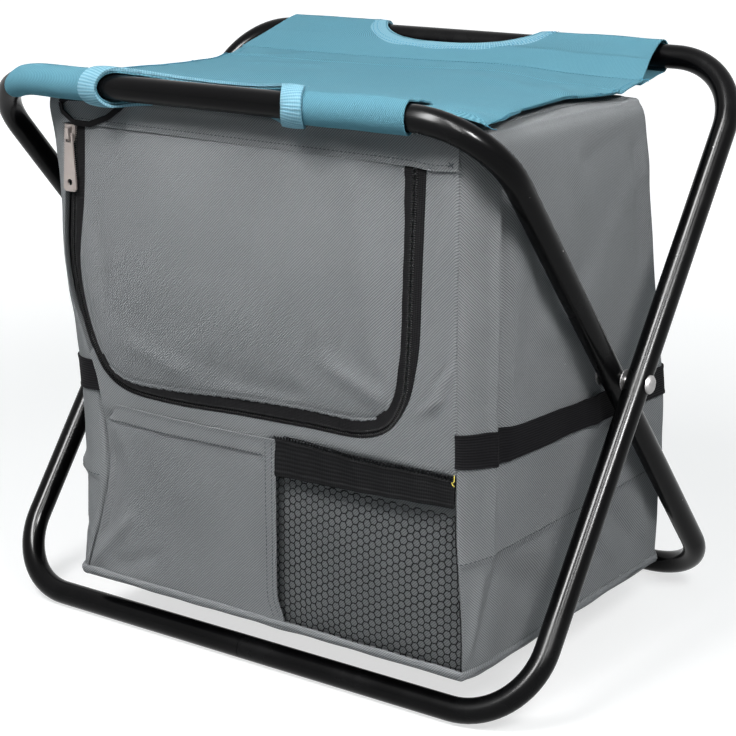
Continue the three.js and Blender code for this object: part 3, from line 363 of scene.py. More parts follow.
class Bench:
    """Short ways to add and join nodes in one tree"""

    def __init__(self, tree):
        self.tree = tree

    def node(self, kind, settings=None, **inputs):
        made = self.tree.nodes.new(kind)
        for key, value in (settings or {}).items():
            setattr(made, key, value)
        for key, value in inputs.items():
            self.feed(made.inputs[key.replace("_", " ")], value)
        return made

    def feed(self, socket, value):
        if isinstance(value, bpy.types.NodeSocket):
            self.tree.links.new(value, socket)
        else:
            socket.default_value = value

    def sum(self, operation, *values, clamp=False):
        made = self.tree.nodes.new("ShaderNodeMath")
        made.operation = operation
        made.use_clamp = clamp
        for index, value in enumerate(values):
            self.feed(made.inputs[index], value)
        return made.outputs[0]

    def vector(self, operation, *values):
        made = self.tree.nodes.new("ShaderNodeVectorMath")
        made.operation = operation
        for index, value in enumerate(values):
            self.feed(made.inputs[index], value)
        return made.outputs[0]

    def noise(self, vector, scale, detail=3.0, roughness=0.55):
        made = self.node("ShaderNodeTexNoise", Vector=vector, Scale=scale, Detail=detail,
                         Roughness=roughness)
        return made.outputs["Fac"]

    def ramp(self, value, low, high, to_low=0.0, to_high=1.0):
        made = self.node("ShaderNodeMapRange", Value=value)
        made.interpolation_type = "SMOOTHSTEP"
        limits = {"From Min": low, "From Max": high, "To Min": to_low, "To Max": to_high}
        for label, number in limits.items():
            made.inputs[label].default_value = number
        return made.outputs["Result"]

    def blend(self, share, first, second):
        made = self.tree.nodes.new("ShaderNodeMix")
        made.data_type = "RGBA"
        self.feed(made.inputs["Factor"], share)
        self.feed(made.inputs[6], first)
        self.feed(made.inputs[7], second)
        return made.outputs[2]


TWILL_PITCH = 0.0013
# One turn of a sine wave; the twill's is divided by the root of two, as its ribs run on the slant
FULL_TURN, TWILL_TURN = 6.283, 4.443


def twill_group():
    """Diagonal ribs with the bite of single threads along each rib"""
    group, start, end = new_group(
        "twill_weave",
        [("Cloth", "NodeSocketVector", None), ("Pitch", "NodeSocketFloat", TWILL_PITCH),
         ("Lean", "NodeSocketFloat", 1.0)],
        [("Rib", "NodeSocketFloat"), ("Thread", "NodeSocketFloat"), ("Height", "NodeSocketFloat")])
    at = Bench(group)
    wobble = at.node("ShaderNodeTexNoise", Vector=start.outputs["Cloth"], Scale=60.0, Detail=2.0)
    drift = at.vector("MULTIPLY_ADD", wobble.outputs["Color"], (0.0006, 0.0006, 0), start.outputs["Cloth"])
    parts = at.node("ShaderNodeSeparateXYZ", Vector=drift)
    leant = at.sum("MULTIPLY", parts.outputs[1], start.outputs["Lean"])
    across = at.sum("SUBTRACT", parts.outputs[0], leant)
    along = at.sum("ADD", parts.outputs[0], leant)
    turn = at.sum("DIVIDE", TWILL_TURN, start.outputs["Pitch"])
    rib = at.sum("MULTIPLY_ADD", at.sum("SINE", at.sum("MULTIPLY", across, turn)), 0.5, 0.5)
    bite = at.sum("SINE", at.sum("MULTIPLY", along, at.sum("MULTIPLY", turn, 1.35)))
    thread = at.sum("MULTIPLY_ADD", bite, 0.5, 0.5)
    height = at.sum("MULTIPLY_ADD", thread, 0.3, at.sum("MULTIPLY", rib, 0.7))
    for label, value in (("Rib", rib), ("Thread", thread), ("Height", height)):
        group.links.new(value, end.inputs[label])
    return group


def wear_group():
    """Slow patches of handling, fine fluff, and a few pale specks of dust"""
    group, start, end = new_group(
        "handled_cloth",
        [("Place", "NodeSocketVector", None), ("Dust", "NodeSocketFloat", 0.5)],
        [("Patches", "NodeSocketFloat"), ("Fluff", "NodeSocketFloat"), ("Specks", "NodeSocketFloat")])
    at = Bench(group)
    patches = at.noise(start.outputs["Place"], 14.0, 4.0, 0.6)
    fluff = at.noise(start.outputs["Place"], 900.0, 2.0, 0.7)
    cells = at.node("ShaderNodeTexVoronoi", Vector=start.outputs["Place"], Scale=95.0)
    drawn = at.node("ShaderNodeSeparateColor", Color=cells.outputs["Color"]).outputs[0]
    chosen = at.sum("GREATER_THAN", drawn, 0.965)
    specks = at.sum("MULTIPLY", at.ramp(cells.outputs["Distance"], 0.035, 0.06, 1.0, 0.0), chosen)
    group.links.new(patches, end.inputs["Patches"])
    group.links.new(fluff, end.inputs["Fluff"])
    group.links.new(at.sum("MULTIPLY", specks, start.outputs["Dust"]), end.inputs["Specks"])
    return group


TWILL = twill_group()
WEAR = wear_group()


def fresh_material(name, **shader):
    """A material with one surface; the place is the piece's own, in metres"""
    material = bpy.data.materials.new(name)
    material.use_nodes = True
    tree = material.node_tree
    tree.nodes.clear()
    at = Bench(tree)
    surface = tree.nodes.new("ShaderNodeBsdfPrincipled")
    out = tree.nodes.new("ShaderNodeOutputMaterial")
    tree.links.new(surface.outputs[0], out.inputs["Surface"])
    for label, value in shader.items():
        surface.inputs[label.replace("_", " ")].default_value = value
    return material, at, surface, at.node("ShaderNodeTexCoord").outputs["Object"]


def use_group(at, group, **inputs):
    made = at.tree.nodes.new("ShaderNodeGroup")
    made.node_tree = group
    for label, value in inputs.items():
        at.feed(made.inputs[label], value)
    return made


def tinted(colour, share=1.0, least=0.0):
    """A step of a colour, deeper below 1 and paler above"""
    return (*[min(1, value * share + least) for value in colour], 1)


def dressed(at, surface, tone, roughness, height, strength, distance):
    """Joins colour, roughness and relief to a surface"""
    at.feed(surface.inputs["Base Color"], tone)
    at.feed(surface.inputs["Roughness"], roughness)
    bump = at.node("ShaderNodeBump", Height=height, Strength=strength, Distance=distance)
    at.feed(surface.inputs["Normal"], bump.outputs[0])


def twill_cloth(name, deep, light, lean):
    """Twill of two tones, handled and a little dusty; lean 1 or -1 says which way its ribs climb"""
    material, at, surface, place = fresh_material(name, Sheen_Weight=0.02, Sheen_Roughness=0.5,
                                                  Specular_IOR_Level=0.05)
    cloth = at.node("ShaderNodeUVMap", {"uv_map": "cloth"}).outputs[0]
    weave = use_group(at, TWILL, Cloth=cloth, Pitch=TWILL_PITCH, Lean=lean)
    wear = use_group(at, WEAR, Place=place, Dust=0.5)
    height, fluff = weave.outputs["Height"], wear.outputs["Fluff"]
    tone = at.blend(height, tinted(deep), tinted(light))
    tone = at.blend(at.ramp(wear.outputs["Patches"], 0.3, 0.72, 0.0, 0.3), tone, tinted(light, 0.72))
    tone = at.blend(at.sum("MULTIPLY", fluff, 0.11), tone, tinted(light, 1.9))
    tone = at.blend(wear.outputs["Specks"], tone, (0.75, 0.75, 0.75, 1))
    coarse = at.sum("MULTIPLY_ADD", fluff, 0.06, height)
    dressed(at, surface, tone, at.ramp(height, 0, 1, 0.9, 0.72), coarse, strength=0.6, distance=0.00035)
    return material


def ribbed_tape(name, deep, light, pitch=0.0012, along=0, cross=0.35):
    """Woven tape: ribs one way, fine threads the other"""
    material, at, surface, place = fresh_material(name, Specular_IOR_Level=0.03)
    cloth = at.node("ShaderNodeUVMap", {"uv_map": "cloth"}).outputs[0]
    wear = use_group(at, WEAR, Place=place, Dust=0.35)
    parts = at.node("ShaderNodeSeparateXYZ", Vector=cloth)
    rib = at.sum("SINE", at.sum("MULTIPLY", parts.outputs[along], FULL_TURN / pitch))
    thread = at.sum("SINE", at.sum("MULTIPLY", parts.outputs[1 - along], FULL_TURN / (pitch * 0.62)))
    height = at.sum("MULTIPLY_ADD", at.sum("MULTIPLY_ADD", thread, cross, rib), 0.37, 0.5, clamp=True)
    tone = at.blend(height, tinted(deep), tinted(light))
    tone = at.blend(at.sum("MULTIPLY", wear.outputs["Fluff"], 0.15), tone, tinted(light, 1.4))
    tone = at.blend(wear.outputs["Specks"], tone, (0.7, 0.7, 0.7, 1))
    dressed(at, surface, tone, at.ramp(height, 0, 1, 0.8, 0.6), height, strength=0.55, distance=0.0004)
    return material


def enamel(name, colour, gloss):
    """Stove enamel on steel tube: faint orange peel, rubbed patches and dust"""
    material, at, surface, place = fresh_material(name, Specular_IOR_Level=gloss)
    wear = use_group(at, WEAR, Place=place, Dust=0.6)
    rubbed = at.ramp(wear.outputs["Patches"], 0.35, 0.75)
    tone = at.blend(rubbed, tinted(colour), tinted(colour, 1.9, 0.001))
    tone = at.blend(wear.outputs["Specks"], tone, (0.45, 0.43, 0.42, 1))
    peel = at.noise(place, 520.0, 2.0)
    dressed(at, surface, tone, at.ramp(rubbed, 0, 1, 0.2, 0.3), peel, strength=0.04, distance=0.0002)
    return material


def bare_metal(name, colour, roughness, metallic=0.75):
    """Plain steel or nickel with a fine brushed grain"""
    material, at, surface, place = fresh_material(name, Metallic=metallic)
    wear = use_group(at, WEAR, Place=place, Dust=0.1)
    grain = at.noise(at.vector("MULTIPLY", place, (1.0, 1.0, 0.08)), 2600.0, 3.0)
    tone = at.blend(at.ramp(wear.outputs["Patches"], 0.35, 0.7), tinted(colour), tinted(colour, 0.7))
    rough = at.ramp(grain, 0.3, 0.7, roughness - 0.08, roughness + 0.14)
    dressed(at, surface, tone, rough, grain, strength=0.15, distance=0.0001)
    return material


def foil_lining(name):
    """Crinkled silver film over foam"""
    material, at, surface, place = fresh_material(name, Metallic=0.55, Specular_IOR_Level=0.6)
    crumple = at.node("ShaderNodeTexVoronoi", {"feature": "DISTANCE_TO_EDGE"}, Vector=place, Scale=55.0)
    fine = at.noise(place, 190.0, 4.0)
    height = at.sum("MULTIPLY_ADD", fine, 0.4, at.ramp(crumple.outputs["Distance"], 0.0, 0.25))
    tone = at.blend(fine, (0.5, 0.51, 0.52, 1), (0.74, 0.75, 0.76, 1))
    dressed(at, surface, tone, at.ramp(fine, 0.3, 0.7, 0.3, 0.5), height, strength=0.5, distance=0.0012)
    return material


def moulded(name, colour, roughness, gloss):
    """Plastic, board or sewing thread: one colour, slightly uneven"""
    material, at, surface, place = fresh_material(name, Specular_IOR_Level=gloss)
    wear = use_group(at, WEAR, Place=place, Dust=0.2)
    fine = at.noise(place, 1400.0, 2.0)
    tone = at.blend(wear.outputs["Patches"], tinted(colour), tinted(colour, 1.6, 0.001))
    rough = at.ramp(fine, 0.3, 0.7, roughness - 0.08, roughness + 0.08)
    dressed(at, surface, tone, rough, fine, strength=0.2, distance=0.0001)
    return material


GREY_CLOTH = twill_cloth("bag_grey_twill", (0.058, 0.061, 0.064), (0.29, 0.297, 0.304), 1.0)
GREY_CLOTH_SIDE = twill_cloth("bag_grey_twill_side", (0.052, 0.055, 0.058), (0.3, 0.308, 0.315), -1.0)
BLUE_CLOTH = twill_cloth("seat_blue_twill", (0.027, 0.122, 0.168), (0.135, 0.33, 0.415), -1.0)
BLUE_TAPE = ribbed_tape("binding_blue", (0.10, 0.27, 0.35), (0.26, 0.46, 0.56), 0.0018, cross=0.5)
BLACK_WEB = ribbed_tape("black_webbing", (0.002, 0.002, 0.0025), (0.013, 0.0125, 0.014), 0.0016, along=1)
ZIP_TAPE = ribbed_tape("zip_tape_black", (0.002, 0.002, 0.0025), (0.014, 0.0135, 0.0145), 0.0011, cross=0.8)
KNIT = ribbed_tape("elastic_knit", (0.002, 0.002, 0.0022), (0.014, 0.014, 0.015), 0.0024, along=1, cross=0.9)
BLACK_ENAMEL = enamel("black_tube", (0.0012, 0.0012, 0.0014), 0.075)
RIVET_STEEL = bare_metal("rivet_steel", (0.36, 0.35, 0.35), 0.4)
PLUG_STEEL = bare_metal("plug_steel", (0.3, 0.3, 0.31), 0.5)
NICKEL = bare_metal("slider_nickel", (0.3, 0.255, 0.235), 0.5, metallic=0.15)
COIL = moulded("zip_coil", (0.004, 0.004, 0.0044), 0.4, 0.06)
NET_CORD = moulded("net_cord", (0.003, 0.0032, 0.0035), 0.7, 0.02)
BOARD = moulded("board_black", (0.02, 0.02, 0.022), 0.6, 0.35)
FOIL = foil_lining("foil_lining")
GREY_THREAD = moulded("grey_thread", (0.045, 0.05, 0.055), 0.8, 0.05)
RIDGE_THREAD = moulded("seat_thread", (0.09, 0.25, 0.33), 0.8, 0.05)
BLUE_THREAD = moulded("blue_thread", (0.05, 0.2, 0.3), 0.8, 0.05)
YELLOW_THREAD = moulded("yellow_thread", (0.55, 0.45, 0.08), 0.8, 0.05)


# Steel frames
TOPS = {"inner": INNER_TOP, "outer": OUTER_TOP}
LEANS = {loop: math.atan2(out, height - PIVOT) for loop, (out, height) in TOPS.items()}
UPPER = {loop: math.hypot(out, height - PIVOT) for loop, (out, height) in TOPS.items()}
HALF = {"inner": INNER_HALF, "outer": OUTER_HALF}
FRONT = {"inner": -1, "outer": 1}
# The tube's two ends leave this much on each side of the middle at the butt joint
BUTT_GAP = 0.2


def tube_loop(name, loop):
    """One round section drawn out and turned through four bends, then leant into place"""
    half, top, low = HALF[loop], UPPER[loop], (PIVOT - TUBE) / math.cos(LEANS[loop])
    straight = half - BEND
    clear_selection()
    bpy.ops.mesh.primitive_circle_add(vertices=36, radius=TUBE * MM, fill_type="NGON",
                                      location=(BUTT_GAP * MM, 0, -low * MM), rotation=(0, math.pi / 2, 0))
    tube = named(bpy.context.object, name)
    bpy.ops.object.transform_apply(location=True, rotation=True, scale=True)
    bpy.ops.object.mode_set(mode="EDIT")
    bpy.ops.mesh.select_all(action="SELECT")

    def draw_out(dx, dz):
        bpy.ops.mesh.extrude_region_move(TRANSFORM_OT_translate={"value": (dx * MM, 0, dz * MM)})

    def bend(centre_x, centre_z):
        centre = (centre_x * MM, 0, centre_z * MM)
        bpy.ops.mesh.spin(steps=18, angle=math.pi / 2, center=centre, axis=(0, 1, 0))

    draw_out(straight - BUTT_GAP, 0)
    bend(straight, BEND - low)
    draw_out(0, top + low - 2 * BEND)
    bend(straight, top - BEND)
    draw_out(-2 * straight, 0)
    bend(-straight, top - BEND)
    draw_out(0, -(top + low - 2 * BEND))
    bend(-straight, BEND - low)
    draw_out(straight - BUTT_GAP, 0)
    bpy.ops.mesh.select_all(action="SELECT")
    bpy.ops.mesh.remove_doubles(threshold=0.00002)
    bpy.ops.mesh.normals_make_consistent(inside=False)
    bpy.ops.object.mode_set(mode="OBJECT")
    tube.rotation_euler = (-FRONT[loop] * LEANS[loop], 0, 0)
    tube.location = (0, SETBACK * MM, PIVOT * MM)
    bpy.ops.object.transform_apply(location=True, rotation=True, scale=True)
    return smooth(tube, 35)


def domed_button(name, side, reach, rise, radius, low_share):
    """Head of a rivet: a disc drawn in and up in small steps until it closes to a dome"""
    clear_selection()
    centre = (side * reach * MM, SETBACK * MM, PIVOT * MM)
    bpy.ops.mesh.primitive_circle_add(vertices=40, radius=radius * MM, fill_type="NGON", location=centre,
                                      rotation=(0, side * math.pi / 2, 0))
    head = named(bpy.context.object, name)
    bpy.ops.object.transform_apply(location=True, rotation=True, scale=True)
    bpy.ops.object.mode_set(mode="EDIT")
    bpy.ops.mesh.select_all(action="SELECT")
    last_rise, last_width = 0.0, 1.0
    steps = 9
    for step in range(1, steps + 1):
        angle = step / steps * math.pi / 2
        width = max(math.cos(angle), 0.04)
        height = mix(low_share, 1, math.sin(angle)) * rise
        up = (side * (height - last_rise) * MM, 0, 0)
        bpy.ops.mesh.extrude_region_move(TRANSFORM_OT_translate={"value": up})
        ratio = width / last_width
        bpy.ops.transform.resize(value=(1, ratio, ratio), center_override=centre)
        last_rise, last_width = height, width
    bpy.ops.mesh.select_all(action="SELECT")
    bpy.ops.mesh.normals_make_consistent(inside=False)
    bpy.ops.object.mode_set(mode="OBJECT")
    return smooth(head, 50)


for loop in ("outer", "inner"):
    tube = tube_loop(f"{loop}_tube", loop)
    mounted(tube, f"{loop}_frame", BLACK_ENAMEL, "black_tube", f"{loop}_frame_tube", soft=False)
for side, word in ((-1, "left"), (1, "right")):
    dome = domed_button(f"rivet_head_{word}", side, OUTER_HALF + TUBE - 0.2, 2.9, 6, 0.25)
    tail = domed_button(f"rivet_tail_{word}", -side, -(INNER_HALF - TUBE + 0.2), 1.9, 6, 0.3)
    mounted(dome, "outer_frame", RIVET_STEEL, "rivet_steel", soft=False)
    mounted(tail, "outer_frame", RIVET_STEEL, "rivet_steel", soft=False)
repainted(RIVET_STEEL, "pivot_rivet_left", "pivot_rivet_right", "pivot_washer_left", "pivot_washer_right")
repainted(PLUG_STEEL, "outer_frame_plug", "inner_frame_plug")


# Sleeves: the cloth is folded round each top bar and sewn to itself some way in from the bar
SLEEVE = 9.7
# way: which way the cloth runs from the bar; sewn: Y of the seam; hole: middle, half width and depth of the
# hand hole, rounded by power; binding: width of its tape
SLEEVES = {
    "front": {"loop": "inner", "way": 1, "sewn": -106, "hole": (-11.5, 72.5, 41), "power": 1.75,
              "binding": 13},
    "rear": {"loop": "outer", "way": -1, "sewn": 82, "hole": (-8, 67, 42), "power": 2.4, "binding": 12},
}


def bar_centre(loop, x):
    """Middle of a top bar at x, following the bend past its start"""
    past = np.clip(np.abs(x) - (HALF[loop] - BEND), 0, BEND * 0.98)
    climb = UPPER[loop] - BEND + np.sqrt(BEND**2 - past**2)
    return FRONT[loop] * climb * math.sin(LEANS[loop]), PIVOT + climb * math.cos(LEANS[loop])


def hand_dip(x):
    """Where the cloth dips at the front hand hole: 1 in its middle"""
    return np.exp(-np.abs((np.asarray(x, float) + 11) / 62) ** 4)


def sewn_height(end, x):
    """Height of the seam where a sleeve's two plies meet"""
    if end == "front":
        return 371.2 - 4.6 * hand_dip(x)
    return 2.6 + reading(RIDGE_HEIGHT, x)


def ply_reach(end):
    """Cloth between the fold round the bar and the seam"""
    depth = abs(abs(SLEEVES[end]["sewn"]) - abs(float(bar_centre(SLEEVES[end]["loop"], np.array(0.0))[0])))
    return SLEEVE * (math.pi - math.acos(SLEEVE / depth)) + math.sqrt(depth**2 - SLEEVE**2)


def ply_spot(end, x, reach, lift):
    """Sleeve cloth: reach is the way from the fold, above the bar where it is positive"""
    facts = SLEEVES[end]
    way = facts["way"]
    cy, cz = bar_centre(facts["loop"], x)
    qy, qz = way * facts["sewn"], sewn_height(end, x) - np.where(reach > 0, 0.2, 1.4)
    cy = way * cy
    apart = np.hypot(qy - cy, qz - cz)
    base = np.arctan2(qz - cz, qy - cy)
    open_angle = np.arccos(SLEEVE / apart)
    wrapped = SLEEVE * (math.pi - open_angle)
    side = np.sign(reach + 1e-9)
    bent = np.minimum(np.abs(reach), wrapped) / SLEEVE
    angle = base + math.pi - side * bent
    past = np.maximum(np.abs(reach) - wrapped, 0)
    straight_run = np.sqrt(apart**2 - SLEEVE**2)
    y = cy + (SLEEVE + lift) * np.cos(angle)
    z = cz + (SLEEVE + lift) * np.sin(angle)
    touch_y = cy + SLEEVE * np.cos(base + side * open_angle)
    touch_z = cz + SLEEVE * np.sin(base + side * open_angle)
    y = y + (qy - touch_y) * past / straight_run
    z = z + (qz - touch_z) * past / straight_run
    return way * y, z


def hole_line(end, turn, grow):
    """Edge of a hand hole in flat cloth: x, and the way from the fold"""
    middle, half, deep = SLEEVES[end]["hole"]
    power = 2 / SLEEVES[end]["power"]
    across = np.sign(np.cos(turn)) * np.abs(np.cos(turn)) ** power
    along = np.sign(np.sin(turn)) * np.abs(np.sin(turn)) ** power
    return middle + (half + grow) * across, (deep + grow) * along


def hole_half(end, reach):
    _, half, deep = SLEEVES[end]["hole"]
    power = SLEEVES[end]["power"]
    return half * np.clip(1 - np.abs(reach / deep) ** power, 0, 1) ** (1 / power)


# Outer ends of each half sleeve: (way from the fold, x), with the seam at END_REACH
END_REACH = 66
SLEEVE_ENDS = {
    ("front", "left"): [(-66, -152), (-30, -160), (-12, -161), (-6, -164.5), (4, -165), (11, -158),
                        (30, -156), (66, -151)],
    ("front", "right"): [(-66, 122), (-20, 139), (0, 143), (12, 141.5), (24, 138), (66, 121)],
    ("rear", "left"): [(-66, -169), (-10, -176), (0, -170), (10, -158), (22, -159), (66, -168)],
    ("rear", "right"): [(-66, 160), (0, 149), (16, 149), (66, 161)],
}
SLEEVE_FOLDS = [((-150, 20), (-100, 26), 6, 0.6), ((90, 12), (135, 20), 6, 0.7),
                ((-160, 40), (-120, 30), 6, 0.5), ((70, 40), (130, 30), 7, 0.5),
                ((110, 20), (150, 60), 7, 0.5)]


def half_sleeve(end, word):
    reach_max = ply_reach(end)

    def place(across, up):
        reach = mix(-reach_max, reach_max, up)
        outer = reading(SLEEVE_ENDS[end, word], reach * END_REACH / reach_max)
        middle = SLEEVES[end]["hole"][0]
        inner = middle + (-1 if word == "left" else 1) * hole_half(end, reach)
        x = mix(outer, inner, across) if word == "left" else mix(inner, outer, across)
        settle = ease((reach_max - np.abs(reach)) / 8)
        lift = (0.35 * ripple(x, reach, 26, 81) + creases(x, reach, SLEEVE_FOLDS)) * settle + 0.3
        y, z = ply_spot(end, x, reach, lift)
        return x, y, z

    body = SLEEVES[end]["loop"] + "_frame"
    made = cloth_panel(f"{end}_sleeve_cloth_{word}", 60, 110, place, thickness=0.8)
    return mounted(made, body, BLUE_CLOTH, "seat_blue", f"{end}_sleeve_{word}", soft=False)


def hole_binding(end):
    """Grosgrain tape folded over the edge of a hand hole, and its stitches"""
    wide = SLEEVES[end]["binding"]

    def place(across, up):
        turn = across * 2 * math.pi
        grow = mix(-0.6, wide, up)
        x, reach = hole_line(end, turn, grow)
        wave = 0.5 * ripple(turn * 40, up * 9, 23, 82)
        y, z = ply_spot(end, x + wave, reach, 0.95 + 0.5 * np.sin(math.pi * up))
        return x + wave, y, z

    body = SLEEVES[end]["loop"] + "_frame"
    made = cloth_panel(f"{end}_hole_binding", 200, 8, place, thickness=1.7)
    rims = (f"{end}_rim_left", f"{end}_rim_right", f"seat_{end}_rim")
    mounted(made, body, BLUE_TAPE, "binding_blue", *rims, soft=False)
    for row, grow in enumerate((wide - 2.2, wide - 5.0) if end == "rear" else (wide - 2.2,)):
        turn = np.linspace(0, 2 * math.pi, 400)
        x, reach = hole_line(end, turn, grow)
        y, z = ply_spot(end, x, reach, 1.5)
        seam = stitch_line(f"{end}_binding_stitches_{row}", np.stack([x, y, z], 1),
                           lambda spot: outward_from_bar(end, spot), pitch=3.0, length=2.1)
        mounted(seam, body, BLUE_THREAD, "binding_blue", soft=False)


def outward_from_bar(end, spot):
    cy, cz = bar_centre(SLEEVES[end]["loop"], np.array(float(spot[0])))
    away = np.array([0.0, spot[1] - float(cy), spot[2] - float(cz)])
    if abs(away[1]) > 12:
        return (0.0, 0.0, 1.0 if away[2] > -3 else -1.0)
    return tuple(away)


# Seat cloth
SEAT_FRONT = 147.6
REAR_LEFT, TIP_X = -171, 181
BAR_SHARE = 0.86
# The ridge seam is sewn just in front of the ridge, which is row 1
RIDGE_STITCH_ROW = 0.972
# Edges and ridge of the seat, in shares of its length and width; LIFT_SHARES gives the ridge's height
LEFT_SHARES = [(-0.009, 0.017), (0.101, 0.054), (0.322, 0.068), (0.542, 0.071), (0.675, 0.065), (1, 0)]
RIGHT_SHARES = [(-0.009, 0.892), (0.024, 1), (0.285, 0.943), (0.524, 0.918), (0.623, 0.949), (0.675, 0.963),
                (1, 0.909)]
RIDGE_SHARES = [(0.065, 0.682), (0.213, 0.748), (0.369, 0.77), (0.491, 0.785), (0.688, 0.792),
                (0.778, 0.763), (0.889, 0.722), (0.963, 0.675)]
LIFT_SHARES = [(0.065, -0.024), (0.369, 0), (0.491, 0.095), (0.688, 0.214), (0.778, -0.024), (0.963, -0.167)]


def seat_across(share):
    return mix(REAR_LEFT, TIP_X, share)


def seat_along(share):
    return mix(-SEAT_FRONT, 124.6, share)


LEFT_EDGE = [(seat_along(a), seat_across(b)) for a, b in LEFT_SHARES]
RIGHT_EDGE = [(seat_along(a), seat_across(b)) for a, b in RIGHT_SHARES]
RIDGE_LINE = [(seat_across(a), seat_along(b)) for a, b in RIDGE_SHARES]
RIDGE_HEIGHT = [(seat_across(a), mix(366, 374.4, b)) for a, b in LIFT_SHARES]


def straight(line, at):
    places, values = np.array(line, float).T
    return np.interp(at, places, values)


def seat_spot(across, row):
    """Seat cloth: row 0 is its front edge, 1 the ridge over the bag's rear, 2 the rear seam"""
    past_share = np.clip((across - BAR_SHARE) / (1 - BAR_SHARE), 0, 1)
    past = ease(past_share)
    fx = np.where(across > BAR_SHARE, mix(142, TIP_X, past_share), mix(-160, 142, across / BAR_SHARE))
    fy = -mix(SEAT_FRONT, 141, past)
    fz = mix(374, 366.4, past) - 5.5 * hand_dip(fx)
    rx = mix(RIDGE_LINE[0][0], RIDGE_LINE[-1][0], across)
    ry, rz = reading(RIDGE_LINE, rx), reading(RIDGE_HEIGHT, rx)
    flap = np.clip(row - 1, 0, 1)
    main = np.clip(row, 0, 1)
    near_bar = np.exp(-main / 0.3)
    x, y = mix(fx, rx, main), mix(fy, ry, main)
    z = mix(mix(366, rz, main), fz, near_bar) - 1.8 * np.sin(math.pi * main) * np.sin(math.pi * across)
    pull = np.where(across < 0.5, ease(1 - across / 0.25), ease((across - 0.8) / 0.2))
    edge = np.where(across < 0.5, straight(LEFT_EDGE, y), straight(RIGHT_EDGE, y))
    x = mix(x, edge, pull)
    bx = mix(-167, 161.5, across)
    x = np.where(row > 1, mix(rx, bx, flap), x)
    y = np.where(row > 1, mix(ry, 84, flap), y)
    z = np.where(row > 1, mix(rz, sewn_height("rear", bx) + 1.1, flap), z)
    return x, y, z


SEAT_FOLDS = [((-120, 20), (-40, 50), 9, 0.9), ((40, 50), (150, 10), 10, 0.9),
              ((120, -120), (60, -60), 8, 0.8), ((-60, -40), (60, -60), 26, -0.8),
              ((150, 40), (100, 70), 6, 0.8), ((-150, 40), (-100, 80), 6, 0.7),
              ((130, -118), (176, -138), 7, 1.3), ((120, -100), (172, -110), 8, -1.0),
              ((150, 0), (120, 40), 6, 1.1)]


def seat_lift(x, y, row, across):
    lift = 0.5 * ripple(x, y, 70, 5) + 0.16 * ripple(x, y, 22, 6) + creases(x, y, SEAT_FOLDS)
    edge = np.minimum(across, 1 - across)
    hem = 0.4 * ease((0.028 - edge) / 0.006)
    settle = ease(row / 0.05 + 0.2) * ease((2 - row) / 0.3)
    fold = 1.9 * np.exp(-np.abs((row - 1) / 0.045) ** 1.3) - 0.6 * hump(row - 1.2, 0.1)
    return (lift + hem) * settle + fold


def seat_place(across, up):
    row = np.where(up < 0.9, up / 0.9, 1 + (up - 0.9) / 0.1)
    x, y, z = seat_spot(across, row)
    wavy = 0.35 * np.sin(x / 7.5) * ease((across - BAR_SHARE) / 0.05) * ease(1 - row / 0.04)
    return x, y + wavy, z + seat_lift(x, y, row, across)


def bend_with_frames(piece, material, slot, *nodes):
    """Cloth between the two top bars: given its finish, with the solids it stands for hidden and its place
    baked into its mesh
    """
    coated(piece, material)
    if nodes:
        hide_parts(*nodes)
    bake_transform(piece)


def seat_seams():
    for name, across in (("left", 0.014), ("right", 0.986)):
        rows = np.linspace(0.2 if name == "left" else 0.03, 1.9, 240)
        x, y, z = seat_spot(np.full_like(rows, across), rows)
        line = np.stack([x, y, z + seat_lift(x, y, rows, np.full_like(rows, across)) + 0.25], 1)
        seam = stitch_line(f"seat_hem_stitches_{name}", line, (0, 0, 1))
        bend_with_frames(seam, BLUE_THREAD, "seat_blue")
    across = np.linspace(0.03, 0.97, 320)
    row = np.full_like(across, RIDGE_STITCH_ROW)
    x, y, z = seat_spot(across, row)
    ridge = np.stack([x, y, z + seat_lift(x, y, row, across) + 0.15], 1)
    seam = stitch_line("seat_ridge_stitches", ridge, (0, 0, 1), width=0.4, height=0.25)
    bend_with_frames(seam, RIDGE_THREAD, "seat_blue")
    left = float(reading(SLEEVE_ENDS["front", "left"], np.array(64.0))) + 3
    right = float(reading(SLEEVE_ENDS["front", "right"], np.array(64.0))) - 3
    x = np.linspace(left, right, 300)
    y, z = ply_spot("front", x, np.full_like(x, ply_reach("front") - 2.2), 0.7)
    seam = stitch_line("front_sleeve_seam", np.stack([x, y, z + 0.3], 1), (0, 0, 1), height=0.25)
    mounted(seam, "inner_frame", RIDGE_THREAD, "seat_blue", soft=False)


for end in ("front", "rear"):
    for word in ("left", "right"):
        half_sleeve(end, word)
    hole_binding(end)
seat = cloth_panel("seat_cloth_piece", 170, 130, seat_place, thickness=1.0)
bend_with_frames(seat, BLUE_CLOTH, "seat_blue", "seat_cloth")
seat_seams()

# Bag walls
FRONT_TURN, REAR_TURN = 0.2, 0.84
CORNER = 26
REAR_ROUND = 12
SIDE_SHARE = 0.36
# How square the left front corner is at each height
LEFT_TURN = [(30, 0.92), (170, 0.92), (200, 1.12), (228, 1.42), (300, 1.42), (335, 1.15), (350, 0.9),
             (362, 0.9)]


